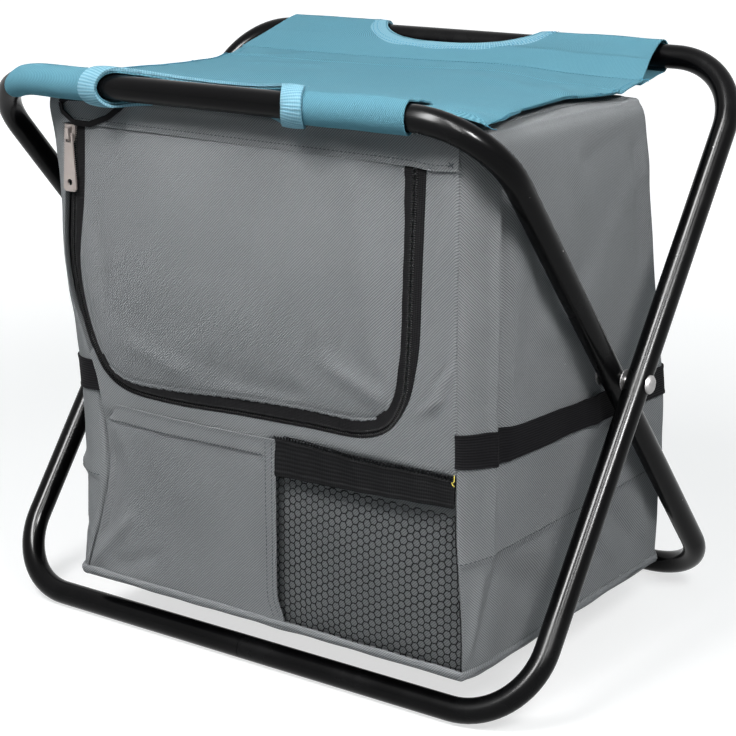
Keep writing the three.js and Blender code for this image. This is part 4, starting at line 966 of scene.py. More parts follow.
def side_plan(side, height, share):
    """Plan of one side from its front seam round to its rear seam, and its inward way"""
    seam = left_seam(height) if side < 0 else right_seam(height)
    wall = across_the_bag(LEFT_SIDE if side < 0 else RIGHT_SIDE, height)
    back = back_face(height)
    turn = np.clip(share / FRONT_TURN, 0, 1) * math.pi / 2
    past = np.clip((share - REAR_TURN) / (1 - REAR_TURN), 0, 1) * math.pi / 2
    along = np.clip((share - FRONT_TURN) / (REAR_TURN - FRONT_TURN), 0, 1)
    flat_turn = 1.45 if side > 0 else reading(LEFT_TURN, height)
    x = np.where(share < FRONT_TURN, mix(seam, wall, np.sin(turn) ** flat_turn), wall)
    y = np.where(share < FRONT_TURN, BAG_FRONT + CORNER * (1 - np.cos(turn).clip(0) ** flat_turn),
                 mix(BAG_FRONT + CORNER, back - REAR_ROUND, along))
    x = np.where(share > REAR_TURN, wall - side * REAR_ROUND * (1 - np.cos(past)), x)
    y = np.where(share > REAR_TURN, back - REAR_ROUND * (1 - np.sin(past)), y)
    wide = np.abs(wall - seam) + 0.01
    nx = np.where(share < FRONT_TURN, -side * CORNER * np.sin(turn), -side * np.cos(past))
    ny = np.where(share < FRONT_TURN, wide * np.cos(turn), -np.sin(past))
    size = np.hypot(nx, ny)
    return x, y, nx / size, ny / size


# Folds of each wall: from and to in (depth or x, height), then width and rise
RIGHT_FOLDS = [((-115, 338), (-112, 150), 4.5, -3.2), ((-123, 335), (-121, 106), 3.5, 1.6),
               ((-90, 330), (-70, 250), 9, -1.3), ((-40, 345), (-20, 300), 9, 1.2),
               ((40, 345), (62, 250), 8, -1.4), ((-112, 101), (-133, 44), 6, -2.0),
               ((-129, 98), (-141, 48), 4, 1.6), ((-104, 330), (-100, 180), 9, 1.0),
               ((-98, 301), (-60, 226), 13, 1.6), ((-71, 236), (-20, 216), 10, 1.2),
               ((-47, 243), (30, 300), 14, -1.2), ((1, 272), (60, 322), 12, 1.3),
               ((-100, 190), (-40, 150), 13, 1.2), ((-60, 150), (20, 190), 16, -1.2),
               ((-110, 96), (-60, 62), 10, -1.9), ((-70, 100), (-30, 60), 9, 1.7),
               ((0, 96), (40, 56), 8, 1.8), ((30, 94), (66, 60), 6, -1.8), ((70, 92), (84, 56), 5, 1.6),
               ((84, 330), (92, 240), 5, 1.4), ((-30, 330), (30, 345), 8, -1.0)]
LEFT_FOLDS = [((-120, 300), (-110, 120), 8, -1.4), ((-60, 280), (20, 220), 16, 1.5),
              ((40, 300), (70, 180), 12, -1.2), ((-80, 90), (0, 60), 14, 1.8), ((20, 90), (70, 60), 8, -1.5),
              ((-138, 116), (-128, 100), 4, 1.5), ((-140, 72), (-126, 58), 4, -1.4)]
BACK_FOLDS = [((-120, 300), (-40, 240), 18, 1.6), ((60, 310), (130, 230), 16, -1.5),
              ((-90, 180), (40, 140), 22, 1.4), ((20, 100), (120, 70), 12, -1.4),
              ((-140, 120), (-60, 90), 12, 1.2)]


def wall_lift(folds, first, height, seed):
    lift = 1.5 * creases(first, height, folds) + 0.8 * ripple(first, height, 85, seed)
    lift = lift + 0.25 * ripple(first, height, 27, seed + 1)
    above = ease((height - SEAM_HEIGHT) / 1.2)
    overlap = 1.7 * above * np.exp(-((height - SEAM_HEIGHT).clip(0) / 22))
    groove = -1.3 * hump(height - SEAM_HEIGHT + 0.6, 0.9)
    return lift + overlap + groove


def side_lift(side, depth, height):
    """Folds of one side wall; side is 1 on the right and -1 on the left"""
    if side > 0:
        return wall_lift(RIGHT_FOLDS, depth, height, 11)
    return wall_lift(LEFT_FOLDS, depth, height, 21)


def lean_in(side, share, back_across):
    """How far the shoulder of each wall is drawn in under the lid"""
    lean = mix(np.where(side < 0, 1.0, 12.0), 23, ease(share / np.where(side < 0, 0.3, 0.5)))
    lean = mix(lean, 10, ease((share - 0.7) / 0.3))
    return np.where(side == 0, 10 * (1 - 2 * back_across), lean * side)


def wall_ring(around, height, inset, wrinkled):
    """A point of the walls, from the right front seam round the back to the left one

    side is 1, 0 or -1; share runs along a side from its front seam, across runs along the back.
    """
    side = np.where(around < SIDE_SHARE, 1.0, np.where(around > 1 - SIDE_SHARE, -1.0, 0.0))
    share = np.clip(np.where(side > 0, around, 1 - around) / SIDE_SHARE, 0, 1)
    xr, yr, nxr, nyr = side_plan(1, height, share)
    xl, yl, nxl, nyl = side_plan(-1, height, share)
    across = np.clip((around - SIDE_SHARE) / (1 - 2 * SIDE_SHARE), 0, 1)
    right_rear = across_the_bag(RIGHT_SIDE, height) - REAR_ROUND
    left_rear = across_the_bag(LEFT_SIDE, height) + REAR_ROUND
    back_x = mix(right_rear, left_rear, across)
    x = np.where(side > 0, xr, np.where(side < 0, xl, back_x))
    y = np.where(side > 0, yr, np.where(side < 0, yl, back_face(height)))
    nx = np.where(side > 0, nxr, np.where(side < 0, nxl, 0.0))
    ny = np.where(side > 0, nyr, np.where(side < 0, nyl, -1.0))
    off = np.full_like(x, -float(inset))
    if wrinkled:
        left_or_back = np.where(side < 0, side_lift(-1, y, height), wall_lift(BACK_FOLDS, x, height, 31))
        lift = np.where(side > 0, side_lift(1, y, height), left_or_back)
        held = np.where(side == 0, 1.0, ease(share / 0.05))
        off = off + lift * held * ease((BAG_TOP - 4 - height) / 30)
        off = off - 4.2 * hump(share, 0.006) * (side != 0) * ease((344 - height) / 6)
    return x - nx * off, y - ny * off, side, share, across


def wall_place(around, up):
    """Walls: up to flat_share upright, above it the rounded shoulder"""
    flat_share = 0.88
    angle = np.clip((up - flat_share) / (1 - flat_share), 0, 1) * math.pi / 2
    height = mix(BAG_FOOT - 1, BAG_TOP - SHOULDER, np.clip(up / flat_share, 0, 1))
    height = height + SHOULDER * np.sin(angle) ** CRISP
    x, y, side, share, across = wall_ring(around, height, 0, True)
    drawn_in = 1 - np.cos(angle).clip(0) ** CRISP
    ridge = 0.9 * hump(up - 0.965, 0.012) * (side > 0)
    return x - lean_in(side, share, across) * drawn_in + ridge, y, height + ridge


bag_walls = cloth_panel("bag_walls", 320, 150, wall_place, thickness=1.3)
mounted(bag_walls, "bag", GREY_CLOTH_SIDE, "bag_grey", "bag_side_left", "bag_side_right", "bag_back")


def lining_place(around, up):
    height = mix(45.6, 336, up)
    x, y, _, _, _ = wall_ring(mix(0.06, 0.94, around), height, 6.6, False)
    return x, y, height + 0.0 * x


def foam_lining(piece, body, *nodes):
    """Foil-faced foam inside the cloth"""
    mounted(piece, body, FOIL, "foil_lining", *nodes)


lining = cloth_panel("wall_lining", 120, 50, lining_place, thickness=3.4)
foam_lining(lining, "bag", "side_foam_left", "side_foam_right", "back_foam")


def plan_x(side, depth, height, inset, leaning):
    """Side edge of a flat piece at each depth"""
    share = np.linspace(0, 1, 61)
    x, y, _, _ = side_plan(side, np.full_like(share, float(height)), share)
    if leaning:
        x = x - lean_in(np.full_like(share, float(side)), share, share)
    order = np.argsort(y)
    return np.interp(depth, y[order], x[order]) - side * inset


def flat_piece(name, height, inset, front_inset, thickness, leaning, seed, upward=1.0, columns=60, rows=46):
    def place(across, up):
        back = float(back_face(np.array(min(height, BAG_TOP))))
        y = mix(BAG_FRONT + front_inset, back - inset, up)
        tall = min(height, BAG_TOP)
        x = mix(plan_x(-1, y, tall, inset, leaning), plan_x(1, y, tall, inset, leaning), across)
        rim = np.minimum(np.minimum(across, 1 - across) * 10, np.minimum(up, 1 - up) * 8)
        return x, y, height + upward * (0.9 * ease(rim) + 0.4 * ripple(x, y, 60, seed) * ease(rim))

    return cloth_panel(name, columns, rows, place, thickness=thickness)


lid = flat_piece("bag_lid", BAG_TOP + 0.5, 0, 1.5, 0.9, True, 61)
mounted(lid, "bag", GREY_CLOTH_SIDE, "bag_grey", "bag_top")
lid_lining = flat_piece("lid_lining", BAG_TOP - 0.8, 4, 6, 3.0, True, 62, upward=0.5)
foam_lining(lid_lining, "bag", "top_foam")
foot_lining = flat_piece("foot_lining", 45.2, 5, 11, 3.4, False, 63, upward=0.5)
foam_lining(foot_lining, "bag", "foot_foam")
foot_board = flat_piece("foot_board_panel", 40.9, 5, 11, 2.4, False, 65, upward=0)
mounted(foot_board, "bag", BOARD, "board_black", "foot_board")
foot_cloth = flat_piece("foot_cloth", 37.6, 0.5, 1.0, 1.2, False, 64, upward=-0.6)
mounted(foot_cloth, "bag", GREY_CLOTH, "bag_grey", "bag_foot")


def foot_ring(around):
    """Plan of the bag's foot: front, right side, back and left side"""
    front_share = 0.26
    on_front = around < front_share
    height = np.full_like(around, float(BAG_FOOT))
    x, y, _, _, _ = wall_ring((around - front_share).clip(0) / (1 - front_share), height, 0, False)
    left, right = float(left_seam(np.array(BAG_FOOT))), float(right_seam(np.array(BAG_FOOT)))
    fx = mix(left, right, around / front_share)
    return np.where(on_front, fx, x), np.where(on_front, BAG_FRONT + 0.0 * fx, y)


def piping_place(around, up):
    x, y = foot_ring(around)
    ahead_x, ahead_y = foot_ring(np.mod(around + 0.004, 1.0))
    behind_x, behind_y = foot_ring(np.mod(around - 0.004, 1.0))
    way_x, way_y = ahead_x - behind_x, ahead_y - behind_y
    size = np.hypot(way_x, way_y) + 1e-9
    angle = up * 2 * math.pi
    crumple = 0.7 * ripple(around * 1200, angle * 6, 37, 91)
    out = 0.4 + (1.7 + crumple) * np.cos(angle)
    return x + out * way_y / size, y - out * way_x / size, 37.4 + (2.9 + crumple) * np.sin(angle)


piping = cloth_panel("foot_binding", 420, 14, piping_place, thickness=0)
mounted(piping, "bag", GREY_CLOTH, "bag_grey", "foot_piping")


# Zip line
def zip_table():
    """Smooth line through the points of ZIP, and the run to each of its points"""
    points = np.array([(mix(BAG_LEFT, BAG_RIGHT, a), mix(BAG_FOOT, HINGE - 0.4, b)) for a, b in ZIP])
    padded = np.vstack([2 * points[0] - points[1], points, 2 * points[-1] - points[-2]])
    drawn = []
    for i in range(1, len(padded) - 2):
        p0, p1, p2, p3 = padded[i - 1:i + 3]
        d0, d1, d2 = (max(np.linalg.norm(b - a) ** 0.5, 1e-4) for a, b in ((p0, p1), (p1, p2), (p2, p3)))
        m1 = ((p1 - p0) / d0 - (p2 - p0) / (d0 + d1) + (p2 - p1) / d1) * d1
        m2 = ((p2 - p1) / d1 - (p3 - p1) / (d1 + d2) + (p3 - p2) / d2) * d1
        for t in np.linspace(0, 1, 40, endpoint=False):
            drawn.append((2 * t**3 - 3 * t**2 + 1) * p1 + (t**3 - 2 * t**2 + t) * m1
                         + (3 * t**2 - 2 * t**3) * p2 + (t**3 - t**2) * m2)
    drawn.append(points[-1])
    drawn = np.array(drawn)
    return drawn, reach_along(drawn)


ZIP_DRAWN, ZIP_REACH = zip_table()
ZIP_LENGTH = ZIP_REACH[-1]


def zip_at(share, offset=0.0):
    """Point of the zip line, set off away from the door"""
    (x, z), (way_x, way_z) = read_along(ZIP_DRAWN, ZIP_REACH, np.clip(share, 0, 1) * ZIP_LENGTH, 2.5)
    size = np.hypot(way_x, way_z)
    return x + offset * way_z / size, z - offset * way_x / size


def tape_reach(share):
    """Outer tape left in sight: a narrow strip down the left, broad up the right"""
    return mix(2.9, 8.8, ease((share - 0.7) / 0.12))


TAPE_BARED = [(0, 8), (0.08, 8), (0.19, 3.8), (0.33, 3.8), (0.42, 6.4), (0.7, 7.2), (0.78, 4.8), (1, 4.8)]


def tape_bared(share):
    """Inner tape left in sight between the coil and the door's edge"""
    return reading(TAPE_BARED, share)


# Front wall, band and door
FRONT_START, FRONT_LEFT, FRONT_RIGHT = 0.268, 0.4, 0.67
# Height at which the wall's outer edge starts on the left; it runs down to the foot and up the right side
FRONT_LEFT_TOP = 192
FRONT_FOLDS = [((151, 200), (166, 228), 3.0, 1.6), ((141, 195), (160, 208), 2.4, 1.1),
               ((152, 215), (160, 226), 1.8, -1.0), ((-60, 150), (-20, 60), 16, 0.8),
               ((90, 150), (120, 60), 18, 0.9), ((168, 320), (171, 240), 4, 0.7)]


def shoulder_lean(z):
    rise = np.clip((z - BAG_TOP + SHOULDER) / SHOULDER, 0, 1)
    return 12 * (1 - (1 - rise ** (2 / CRISP)) ** (CRISP / 2))


def front_wall_place(across, up):
    share = mix(FRONT_START, 1.0, across)
    near_x, near_z = zip_at(share, tape_reach(share) - 0.6)
    fall = np.clip((share - FRONT_START) / (FRONT_LEFT - FRONT_START), 0, 1)
    low_left = mix(FRONT_LEFT_TOP, BAG_FOOT, fall)
    run = np.clip((share - FRONT_LEFT) / (FRONT_RIGHT - FRONT_LEFT), 0, 1)
    climb = np.clip((share - FRONT_RIGHT) / (1 - FRONT_RIGHT), 0, 1)
    far_z = np.where(share < FRONT_LEFT, low_left, mix(BAG_FOOT, HINGE - 0.4, climb))
    middle_x = mix(left_seam(BAG_FOOT), right_seam(BAG_FOOT), run)
    right_x = right_seam(far_z) + 0.4 - shoulder_lean(far_z)
    far_x = np.where(share < FRONT_RIGHT, middle_x, right_x)
    far_x = np.where(share < FRONT_LEFT, left_seam(low_left), far_x)
    x, z = mix(near_x, far_x, up), mix(near_z, far_z, up)
    mouth = mix(POCKET_TOP - 3, POCKET_TOP + 3.5, ease((x - 24) / 12))
    recess = 7 * ease((mouth - z) / 9) * mix(0.3, 1, ease((x - left_seam(z) - 2) / 14))
    lift = creases(x, z, FRONT_FOLDS) + 0.5 * ripple(x, z, 60, 41) + 0.2 * ripple(x, z, 21, 42)
    lift = lift * ease(up / 0.12) * ease((1 - up) / 0.1)
    seam = -4.2 * ease((up - 0.955) / 0.045) * (share > FRONT_RIGHT)
    return x, BAG_FRONT + recess - lift - seam, z


front_wall = cloth_panel("front_wall", 240, 48, front_wall_place, thickness=1.0, flat=front_flat)
mounted(front_wall, "bag", GREY_CLOTH, "bag_grey", "bag_front")


def hinge_drop(x):
    """The hinge seam slopes a little and dips at its stitched corner"""
    return 1.2 * (x / 150) + 1.1 * hump(x - 150, 9)


BAND_FOLDS = [((-60, 346), (20, 352), 5, 0.8), ((60, 350), (130, 346), 4, 0.8)]


def band_place(across, up):
    z = mix(HINGE - 2.2, BAG_TOP + 0.6, up)
    x = mix(left_seam(z) - 0.5, right_seam(z) + 0.8 - shoulder_lean(z), across)
    lap = mix(2.6, 1.0, ease(up / 0.7))
    lift = 0.6 * ripple(x, z, 50, 51) + creases(x, z, BAND_FOLDS)
    back = 3.5 * ease((up - 0.75) / 0.25) ** 2
    return x, BAG_FRONT - lap - lift * np.sin(math.pi * up) + back, z - hinge_drop(x) * (1 - up)


band = cloth_panel("top_band", 170, 24, band_place, thickness=1.1, flat=front_flat)
mounted(band, "bag", GREY_CLOTH, "bag_grey", "bag_front_band")
x = np.linspace(-125, 164, 260)
band_seam = np.stack([x, np.full_like(x, BAG_FRONT - 2.7), HINGE + 1.3 - hinge_drop(x)], 1)
seam = stitch_line("band_stitches", band_seam, (0, -1, 0), pitch=3.0, length=2.1, width=0.45)
mounted(seam, "bag", GREY_THREAD, "bag_grey")
cross = [np.array([[160, BAG_FRONT - 2.8, 342.4], [164.5, BAG_FRONT - 2.8, 345.0]]),
         np.array([[160.5, BAG_FRONT - 2.8, 345.4], [164, BAG_FRONT - 2.8, 342.0]])]
for number, line in enumerate(cross):
    tack = stitch_line(f"corner_tack_{number}", line, (0, -1, 0), pitch=2.2, length=2.4, width=0.8)
    mounted(tack, "bag", GREY_THREAD, "bag_grey")

DOOR_TOP = HINGE - 0.4
# The door's lower corners, in shares of the zip's length
LEFT_FOOT, RIGHT_FOOT = 0.29, 0.715
DOOR_FOLDS = [((-108, 325), (-98, 215), 8, -1.0), ((-40, 335), (-60, 230), 18, 0.8),
              ((30, 335), (5, 250), 24, -0.7), ((96, 335), (112, 225), 10, 1.0),
              ((-20, 200), (60, 190), 9, -0.7), ((75, 218), (122, 198), 6, 0.9),
              ((-80, 205), (-30, 192), 7, 0.8)]


def door_edge(share, more):
    """Door outline: it follows the zip, set in by the tape that shows and by more"""
    share = np.asarray(share, float)
    return zip_at(share, -tape_bared(share) - more)


def door_coons(across, down, more):
    """A point of the door, spread evenly between its four edges"""
    left_top = np.array([float(door_edge(0, more)[0]), DOOR_TOP])
    right_top = np.array([float(door_edge(1, more)[0]), DOOR_TOP])
    left_foot = np.array([float(v) for v in door_edge(LEFT_FOOT, more)])
    right_foot = np.array([float(v) for v in door_edge(RIGHT_FOOT, more)])
    left_line = door_edge(down * LEFT_FOOT, more)
    right_line = door_edge(1 - down * (1 - RIGHT_FOOT), more)
    foot_line = door_edge(mix(LEFT_FOOT, RIGHT_FOOT, across), more)
    spots = []
    for axis in (0, 1):
        left, right, below = left_line[axis], right_line[axis], foot_line[axis]
        if axis == 1:
            left, right = np.where(down <= 0, DOOR_TOP, left), np.where(down <= 0, DOOR_TOP, right)
        above = mix(left_top[axis], right_top[axis], across)
        total = above * (1 - down) + below * down + left * (1 - across) + right * across
        total = total - left_top[axis] * (1 - across) * (1 - down) - right_top[axis] * across * (1 - down)
        spots.append(total - left_foot[axis] * (1 - across) * down - right_foot[axis] * across * down)
    return spots


def door_place(across, up):
    down = 1 - up
    x, z = door_coons(across, down, 0)
    edge = np.minimum(np.minimum(across, 1 - across) * 1.2, np.minimum(down * 1.4 + 0.02, up * 1.1))
    swell = 8 * (np.sin(math.pi * across).clip(0) * np.sin(math.pi * down).clip(0)) ** 0.5
    lift = 1.5 * creases(x, z, DOOR_FOLDS) + 0.9 * ripple(x, z, 95, 71) + 0.25 * ripple(x, z, 28, 72)
    hem = 0.9 * ease(edge / 0.006) - 0.5 * hump(edge - 0.03, 0.012)
    frayed = (0.3 * np.sin(x * 1.9) + 0.3 * np.sin(x * 0.83 + 1)) * ease((0.02 - up) / 0.02)
    return x, BAG_FRONT - swell - lift * ease(edge / 0.1) - hem, z + frayed


door = cloth_panel("door_cover", 190, 150, door_place, thickness=1.3, flat=front_flat)
mounted(door, "door", GREY_CLOTH, "bag_grey", "door_panel")


def door_lining_place(across, up):
    x, z = door_coons(across, 1 - up, 5)
    edge = np.minimum(np.minimum(across, 1 - across), np.minimum(up, 1 - up))
    return x, BAG_FRONT + 2.2 - 0.6 * ease(edge / 0.05) + 0.4 * ripple(x, z, 30, 73), z


door_lining = cloth_panel("door_lining", 80, 60, door_lining_place, thickness=4.0, flat=front_flat)
foam_lining(door_lining, "door", "door_foam")

# Zip tapes and coil
# At its top left end the inner half of the zip is sewn to the bag; this is that share of its length
LOOSE = 48 / ZIP_LENGTH
# The coil has a loop at every step of this pitch, set off to each side of the line
COIL_PITCH, COIL_OFF = 1.4, 1.3


def tape_strip(name, from_share, to_share, near, far, columns, lift=0.0, wave=0.0):
    def place(across, up):
        share = mix(from_share, to_share, across)
        reach = mix(near(share) if callable(near) else near, far(share) if callable(far) else far, up)
        run = share * ZIP_LENGTH
        fray = 0.25 * np.sin(run * 2.1) * np.sin(run * 0.53) * (wave > 0) * (up < 0.02)
        x, z = zip_at(share, reach + fray)
        sway = np.sin(run / 6.8 + 2 * np.sin(run / 31)) + 0.5 * np.sin(run / 3.1)
        return x, BAG_FRONT - lift - wave * sway * np.abs(reach) / 9, z

    return cloth_panel(name, columns, 8, place, thickness=0.7)


def coil_side(name, from_share, to_share, side):
    """One side of the zip's coil: small nylon loops in a row"""
    clear_selection()
    bpy.ops.mesh.primitive_uv_sphere_add(segments=8, ring_count=5, radius=0.5)
    bead = bpy.context.object
    put_spots(bead, spots_of(bead) * np.array([1.0, 2.9, 1.8]) * MM)
    frames = []
    off = side * COIL_OFF
    for step in range(int((to_share - from_share) * ZIP_LENGTH / COIL_PITCH)):
        share = from_share + (step + (0.5 if side > 0 else 0.0)) * COIL_PITCH / ZIP_LENGTH
        x, z = zip_at(share, off)
        ax, az = zip_at(min(share + 0.001, 1), off)
        bx, bz = zip_at(max(share - 0.001, 0), off)
        spot = metres([[float(x), BAG_FRONT - 0.7, float(z)]])[0]
        frames.append(laid_frame(spot, (float(ax - bx), 0, float(az - bz)), (0, -1, 0)))
    return strung(name, bead, frames)


zip_bag = tape_strip("zip_tape_outer", 0, 1, 1.2, tape_reach, 300, lift=0.2)
mounted(zip_bag, "bag", ZIP_TAPE, "zip_black", "zip_tape_bag")
zip_top = tape_strip("zip_tape_loose", 0, LOOSE, -9.4, -1.2, 40)
mounted(zip_top, "bag", ZIP_TAPE, "zip_black", "zip_tape_top")
zip_door = tape_strip("zip_tape_inner", LOOSE, 1, lambda share: -tape_bared(share) - 1.8, -1.2, 320,
                      lift=0.6, wave=0.3)
mounted(zip_door, "door", ZIP_TAPE, "zip_black", "zip_tape_door")
mounted(coil_side("coil_outer", 0, 0.999, 1), "bag", COIL, "zip_black", "zip_teeth_bag")
mounted(coil_side("coil_loose", 0, LOOSE, -1), "bag", COIL, "zip_black", "zip_teeth_top")
mounted(coil_side("coil_inner", LOOSE, 0.999, -1), "door", COIL, "zip_black", "zip_teeth_door")
repainted(NICKEL, "zip_slider", "zip_pull_tab")


# Pockets
POCKET_FOLDS = [((-121, 43), (-84, 84), 4.5, 2.2), ((-112, 62), (-98, 128), 8, -2.0),
                ((-100, 44), (-62, 62), 6, -1.2), ((-60, 150), (-20, 90), 16, 0.9),
                ((0, 140), (24, 60), 10, -0.7), ((-98, 150), (-80, 110), 6, 0.7)]


def pocket_clip(up):
    """The pocket's top left corner is cut across"""
    return 12 * np.clip((up - 0.86) / 0.14, 0, 1)


def pocket_place(across, up):
    z = mix(BAG_FOOT + 0.5, POCKET_TOP, up)
    right = POCKET_SPLIT + 0.6 + 6 * hump(z - BAG_FOOT, 11)
    x = mix(left_seam(z) + 1.2 + pocket_clip(up), right, across)
    lift = creases(x, z, POCKET_FOLDS) + 0.5 * ripple(x, z, 60, 101) + 0.2 * ripple(x, z, 22, 102)
    top_hem = 0.8 * ease((z - 147.5) / 1.2) + 0.5 * ease((z - 157.5) / 1.5)
    side_hem = 0.8 * ease((x - 27.5) / 1.0)
    edge = ease(np.minimum(across, 1 - across) / 0.04 + 0.2) * ease(up / 0.05)
    gape = 3.4 * np.sin(math.pi * np.clip(across, 0, 1)) ** 0.7 * ease((up - 0.3) / 0.7)
    return x, BAG_FRONT - lift * edge - np.maximum(top_hem, side_hem) - gape, z


pocket = cloth_panel("flat_pocket_cloth", 130, 110, pocket_place, thickness=1.1, flat=front_flat)
mounted(pocket, "bag", GREY_CLOTH, "bag_grey", "pocket_panel")


def pocket_stitches(name, start, stop):
    share = np.linspace(0, 1, 160)
    z = mix(start[1], stop[1], share)
    x = mix(start[0], stop[0], share)
    up = (z - BAG_FOOT - 0.5) / (POCKET_TOP - BAG_FOOT - 0.5)
    left = left_seam(z) + 1.2 + pocket_clip(up)
    across = (x - left) / (POCKET_SPLIT + 0.6 - left)
    px, py, pz = pocket_place(across, up)
    seam = stitch_line(name, np.stack([px, py - 0.25, pz], 1), (0, -1, 0), pitch=2.9, length=2.0, width=0.5)
    mounted(seam, "bag", GREY_THREAD, "bag_grey")


pocket_stitches("pocket_top_stitches", (-98, 149), (27, 149))
pocket_stitches("pocket_side_stitches", (29.5, 42), (29.5, 158))
pocket_stitches("pocket_edge_stitches", (34.2, 42), (34.2, 158))

# Net pocket: steps between its meshes, thickness of its cords, its left and top edges, its folds
NET_COLUMN, NET_ROW = 4.42, 5.1
NET_WIRE = 0.86
NET_LEFT, NET_TOP = 36.0, 137.0
NET_FOLDS = [((60, 60), (100, 52), 9, 1.0), ((120, 120), (150, 60), 12, 1.0)]


def net_depth(x, z):
    across = np.clip((x - NET_LEFT) / (right_seam(z) - NET_LEFT), 0, 1)
    up = np.clip((z - BAG_FOOT) / (NET_TOP - BAG_FOOT), 0, 1)
    belly = 3.4 * np.sin(math.pi * across) * np.sin(math.pi * mix(0.1, 0.95, up))
    return BAG_FRONT + 0.6 - belly - creases(x, z, NET_FOLDS)


def hexagon_net(name):
    """Knitted mesh: hexagons side by side, thinned to cords"""
    reach = NET_COLUMN / 1.5
    spots, index, faces = [], {}, []
    for column in range(-1, 34):
        for row in range(-1, 22):
            cx = NET_LEFT + column * NET_COLUMN
            cz = BAG_FOOT + (row + (0.5 if column % 2 else 0.0)) * NET_ROW
            right = float(right_seam(np.array(cz))) - 0.8
            if cx < NET_LEFT - 1 or cx > right + 1 or cz < BAG_FOOT - 1 or cz > NET_TOP + 1:
                continue
            face = []
            for corner in range(6):
                angle = corner * math.pi / 3
                x = min(max(cx + reach * math.cos(angle), NET_LEFT), right)
                z = min(max(cz + NET_ROW / math.sqrt(3) * math.sin(angle), BAG_FOOT + 0.4), NET_TOP)
                key = (round(x, 1), round(z, 1))
                if key not in index:
                    index[key] = len(spots)
                    drift = 0.25 * ripple(np.array(x), np.array(z), 17, 111)
                    spots.append((x + float(drift), float(net_depth(x, z)), z + float(drift)))
                if index[key] not in face:
                    face.append(index[key])
            if len(face) > 2:
                faces.append(face)
    net = from_faces(name, metres(spots).tolist(), faces)
    grown(net, "WIREFRAME", thickness=NET_WIRE * MM, use_even_offset=False, use_boundary=True)
    return smooth(net, 60)


mounted(hexagon_net("pocket_net_cords"), "bag", NET_CORD, "black_webbing", "pocket_net")


def elastic_place(across, up):
    x = mix(NET_LEFT + 0.2, right_seam(np.full_like(across, 150.0)) - 0.6, across)
    low = mix(136.5, 142.0, across)
    high = mix(161.0, 158.6, across) + 0.5 * np.sin(across * 9)
    z = mix(low, high, up)
    edge = 0.5 * hump(up - 0.08, 0.04) + 0.5 * hump(up - 0.93, 0.04)
    wave = 0.5 * ripple(x, z, 40, 121) + 0.35 * np.sin(x / 3.4 + z / 9)
    belly = 2.2 * np.sin(math.pi * across)
    return x, BAG_FRONT - 0.6 - edge - wave - belly, z


elastic = cloth_panel("elastic_band", 180, 22, elastic_place, thickness=1.2)
mounted(elastic, "bag", KNIT, "black_webbing", "net_elastic")


def picots():
    """Small loops in a row along the top of the elastic"""
    clear_selection()
    bpy.ops.mesh.primitive_torus_add(major_segments=8, minor_segments=4, major_radius=1.5 * MM,
                                     minor_radius=0.42 * MM)
    bead = bpy.context.object
    count = 54
    across = (np.arange(count) + 0.5) / count
    x, y, z = elastic_place(across, np.ones(count))
    frames = [laid_frame(p, (1, 0, 0), (0, -1, 0)) for p in metres(np.stack([x, y, z + 1.0], 1))]
    return strung("elastic_picots", bead, frames)


mounted(picots(), "bag", NET_CORD, "black_webbing")

# Straps round the sides
STRAP_TOPS = [(0, 187), (0.2, 185), (0.5, 178), (1, 176)]
STRAP_FEET = [(0, 167), (0.2, 163), (0.5, 160), (1, 155)]


def side_strap(side, word):
    def place(across, up):
        share = across if side > 0 else 1 - across
        z = mix(straight(STRAP_FEET, share), straight(STRAP_TOPS, share), up)
        x, y, nx, ny = side_plan(side, z, share)
        lift = side_lift(side, y, z) * ease(share / 0.05)
        kink = 1.5 * hump(share - 0.56, 0.02) if side > 0 else 0.0
        rib = 0.3 * (np.abs(up - 0.5) > 0.42)
        out = 1.1 + 0.6 * lift + rib + kink + 0.3 * ripple(share * 260, z, 40, 131)
        return x - nx * out, y - ny * out, z

    made = cloth_panel(f"side_strap_{word}_webbing", 170, 14, place, thickness=1.3)
    mounted(made, "bag", BLACK_WEB, "black_webbing", f"side_strap_{word}")


side_strap(1, "right")
side_strap(-1, "left")

# Tape loop at the door's top left corner
LOOP = [(0.0, 0.3), (0.02, 0.62), (0.2, 1), (0.436, 1), (0.727, 0.66), (0.96, 0.16), (0.97, 0.05),
        (0.8, 0.02), (0.4, 0.06), (0.1, 0.12), (0.0, 0.3)]


def loop_place(across, up):
    corners = np.array([(mix(-133, -76, a), mix(360, 342.6, b)) for a, b in LOOP])
    reach = reach_along(corners)
    (x, z), (way_x, way_z) = read_along(corners, reach, across * reach[-1], 2)
    x = x + 0.6 * np.sin(across * 9)
    size = np.hypot(way_x, way_z)
    off = mix(-1.7, 1.7, up)
    twist = 1.6 * np.sin(across * 5 + 0.6) * (up - 0.5)
    y = BAG_FRONT - 3.2 - twist - 1.2 * np.sin(math.pi * across)
    return x - off * way_z / size, y, z + off * way_x / size


loop = cloth_panel("door_tape_loop", 160, 6, loop_place, thickness=1.2)
mounted(loop, "bag", ZIP_TAPE, "zip_black", "tape_loop")


# Stitches in the lower side seams, and loose threads
def wall_stitches(side, word):
    share = np.linspace(0.02, 0.95, 320)
    z = np.full_like(share, SEAM_HEIGHT + 3.5) + 0.5 * np.sin(share * 7)
    x, y, nx, ny = side_plan(side, z, share)
    out = side_lift(side, y, z) * ease(share / 0.05) + 0.15
    spots, ways = evenly(np.stack([x - nx * out, y - ny * out, z], 1), 3.2)
    norm_x, norm_y = np.interp(spots[:, 1], y, -nx), np.interp(spots[:, 1], y, -ny)
    frames = [laid_frame(p, w, (a, b, 0)) for p, w, a, b in zip(metres(spots), ways, norm_x, norm_y)]
    seam = strung(f"side_seam_stitches_{word}", bead_of_thread(2.2, 0.5, 0.4), frames)
    mounted(seam, "bag", GREY_THREAD, "bag_grey")


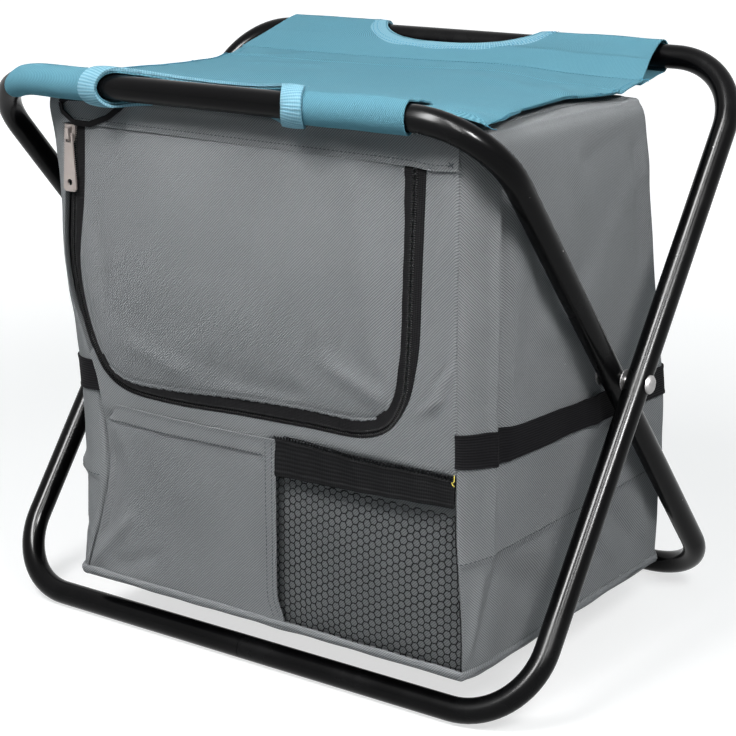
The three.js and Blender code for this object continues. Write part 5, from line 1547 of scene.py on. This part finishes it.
wall_stitches(1, "right")
wall_stitches(-1, "left")


def loose_thread(name, points, radius):
    """A stray end of thread: a fine tube through a few points"""
    line = np.array(points, float)
    places = np.linspace(0, len(line) - 1, 8 * len(line))
    fine = np.stack([reading(list(enumerate(line[:, k])), places) for k in range(3)], 1)
    clear_selection()
    bpy.ops.mesh.primitive_circle_add(vertices=6, radius=radius * MM)
    ring = bpy.context.object
    circle = spots_of(ring)
    bpy.data.objects.remove(ring)
    ways = np.gradient(fine, axis=0)
    spots, faces = [], []
    for number, (spot, way) in enumerate(zip(metres(fine), ways)):
        turn = np.array(Vector(way).to_track_quat("Z", "Y").to_matrix())
        spots += (circle @ turn.T + spot).tolist()
        if number:
            low = (number - 1) * 6
            faces += [(low + k, low + (k + 1) % 6, low + 6 + (k + 1) % 6, low + 6 + k) for k in range(6)]
    return smooth(from_faces(name, spots, faces), 70)


knot = [(168.5, BAG_FRONT - 2.6, 163), (169.5, BAG_FRONT - 4.2, 160), (167.5, BAG_FRONT - 3.6, 158.5),
        (170, BAG_FRONT - 4.6, 157)]
mounted(loose_thread("yellow_thread_end", knot, 0.32), "bag", YELLOW_THREAD, "bag_grey")
tip = [(181, -142, 366.5), (184, -144, 366), (186, -143.4, 365.2), (189, -145, 365.4)]
bend_with_frames(loose_thread("seat_thread_front", tip, 0.22), BLUE_THREAD, "seat_blue")
corner = [(161, 80, 370.5), (164, 79, 369.5), (167, 80, 369.8), (168, 78, 368)]
bend_with_frames(loose_thread("seat_thread_rear", corner, 0.22), BLUE_THREAD, "seat_blue")


# Stage, lamps and camera
# The camera is matched to the photo: lengths in its pixels, the place in metres, the angles in degrees
PHOTO_WIDTH = 736
FOCAL_PIXELS = 1928.568
SHIFT_PIXELS = (5.373, 11.236)
SENSOR_WIDTH = 36
CAMERA_PLACE = (0.729593, -1.051856, 0.519610)
AZIMUTH, ELEVATION, ROLL = 34.787, 15.737, 0.406


def camera_at_the_photo():
    data = bpy.data.cameras.new("photo_camera")
    camera = bpy.data.objects.new("photo_camera", data)
    bpy.context.scene.collection.objects.link(camera)
    azimuth, elevation, roll = (math.radians(v) for v in (AZIMUTH, ELEVATION, ROLL))
    level = math.cos(elevation)
    back = Vector((math.sin(azimuth) * level, -math.cos(azimuth) * level, math.sin(elevation)))
    right = (-back).cross(Vector((0, 0, 1))).normalized()
    up = right.cross(-back)
    level_right = math.cos(roll) * right + math.sin(roll) * up
    level_up = -math.sin(roll) * right + math.cos(roll) * up
    turn = Matrix((level_right, level_up, back)).transposed().to_4x4()
    camera.matrix_world = Matrix.Translation(CAMERA_PLACE) @ turn
    data.sensor_width = SENSOR_WIDTH
    data.lens = FOCAL_PIXELS / PHOTO_WIDTH * SENSOR_WIDTH
    data.shift_x, data.shift_y = (pixels / PHOTO_WIDTH for pixels in SHIFT_PIXELS)
    data.clip_start, data.clip_end = 0.05, 50
    bpy.context.scene.camera = camera


def soft_lamp(name, place, aim, width, height, watts, mirrored=False):
    data = bpy.data.lights.new(name, "AREA")
    data.shape = "RECTANGLE"
    data.size, data.size_y = width, height
    data.energy = watts
    lamp = bpy.data.objects.new(name, data)
    bpy.context.scene.collection.objects.link(lamp)
    lamp.location = place
    lamp.visible_glossy = mirrored
    lamp.visible_diffuse = not mirrored
    lamp.rotation_mode = "QUATERNION"
    lamp.rotation_quaternion = (Vector(aim) - Vector(place)).to_track_quat("-Z", "Y")


def seen_rays(at):
    """1 for rays that show a thing to the camera, straight, through glass or in a gloss"""
    path = at.node("ShaderNodeLightPath")
    seen = at.sum("MAXIMUM", path.outputs["Is Camera Ray"], path.outputs["Is Transmission Ray"])
    return at.sum("MAXIMUM", seen, path.outputs["Is Glossy Ray"])


def pale_world():
    world = bpy.data.worlds.new("pale_studio")
    bpy.context.scene.world = world
    world.use_nodes = True
    tree = world.node_tree
    tree.nodes.clear()
    at = Bench(tree)
    seen = seen_rays(at)
    level = at.sum("MAXIMUM", seen, 0.27)
    shade = at.blend(seen, (0.86, 1.0, 1.05, 1), (1, 1, 1, 1))
    glow = at.node("ShaderNodeBackground", Color=shade, Strength=level)
    out = tree.nodes.new("ShaderNodeOutputWorld")
    tree.links.new(glow.outputs[0], out.inputs["Surface"])


def pale_floor():
    """A broad floor just under the feet, greyer round the stool and white further off"""
    clear_selection()
    bpy.ops.mesh.primitive_plane_add(size=14, location=(0, 0, -0.0002))
    floor = named(bpy.context.object, "studio_floor")
    bpy.ops.object.transform_apply(location=True, rotation=True, scale=True)
    material = bpy.data.materials.new("pale_floor")
    material.use_nodes = True
    tree = material.node_tree
    tree.nodes.clear()
    at = Bench(tree)
    matte = at.node("ShaderNodeBsdfDiffuse", Color=(0.4, 0.4, 0.4, 1))
    away = at.node("ShaderNodeVectorMath", {"operation": "LENGTH"})
    tree.links.new(at.node("ShaderNodeTexCoord").outputs["Object"], away.inputs[0])
    shine = at.ramp(away.outputs["Value"], 0.5, 1.6, 0.66, 1.0)
    glow = at.node("ShaderNodeEmission", Color=(1, 1, 1, 1), Strength=shine)
    both = tree.nodes.new("ShaderNodeAddShader")
    tree.links.new(matte.outputs[0], both.inputs[0])
    tree.links.new(glow.outputs[0], both.inputs[1])
    seen = seen_rays(at)
    choose = tree.nodes.new("ShaderNodeMixShader")
    tree.links.new(seen, choose.inputs[0])
    tree.links.new(matte.outputs[0], choose.inputs[1])
    tree.links.new(both.outputs[0], choose.inputs[2])
    out = tree.nodes.new("ShaderNodeOutputMaterial")
    tree.links.new(choose.outputs[0], out.inputs["Surface"])
    floor.data.materials.append(material)


camera_at_the_photo()
pale_world()
pale_floor()
soft_lamp("key", (-0.12, -0.82, 1.2), (0, -0.1, 0.32), 0.5, 0.4, 13.6)
soft_lamp("fill", (0.86, -0.42, 0.98), (0.15, 0, 0.3), 0.45, 0.4, 9.6)
soft_lamp("top", (-0.55, -0.8, 1.3), (0, -0.05, 0.37), 0.6, 0.6, 1.5)
soft_lamp("strip_front", (-0.02, -1.27, 1.62), (0.1, -0.05, 0.25), 0.42, 1.3, 260, mirrored=True)
soft_lamp("strip_right", (0.86, -1.24, 1.67), (0.1, -0.05, 0.25), 0.14, 1.3, 80, mirrored=True)
soft_lamp("strip_bend", (1.42, -0.88, 1.43), (0.15, -0.1, 0.35), 0.22, 0.4, 110, mirrored=True)
bpy.context.scene.view_settings.view_transform = "Standard"
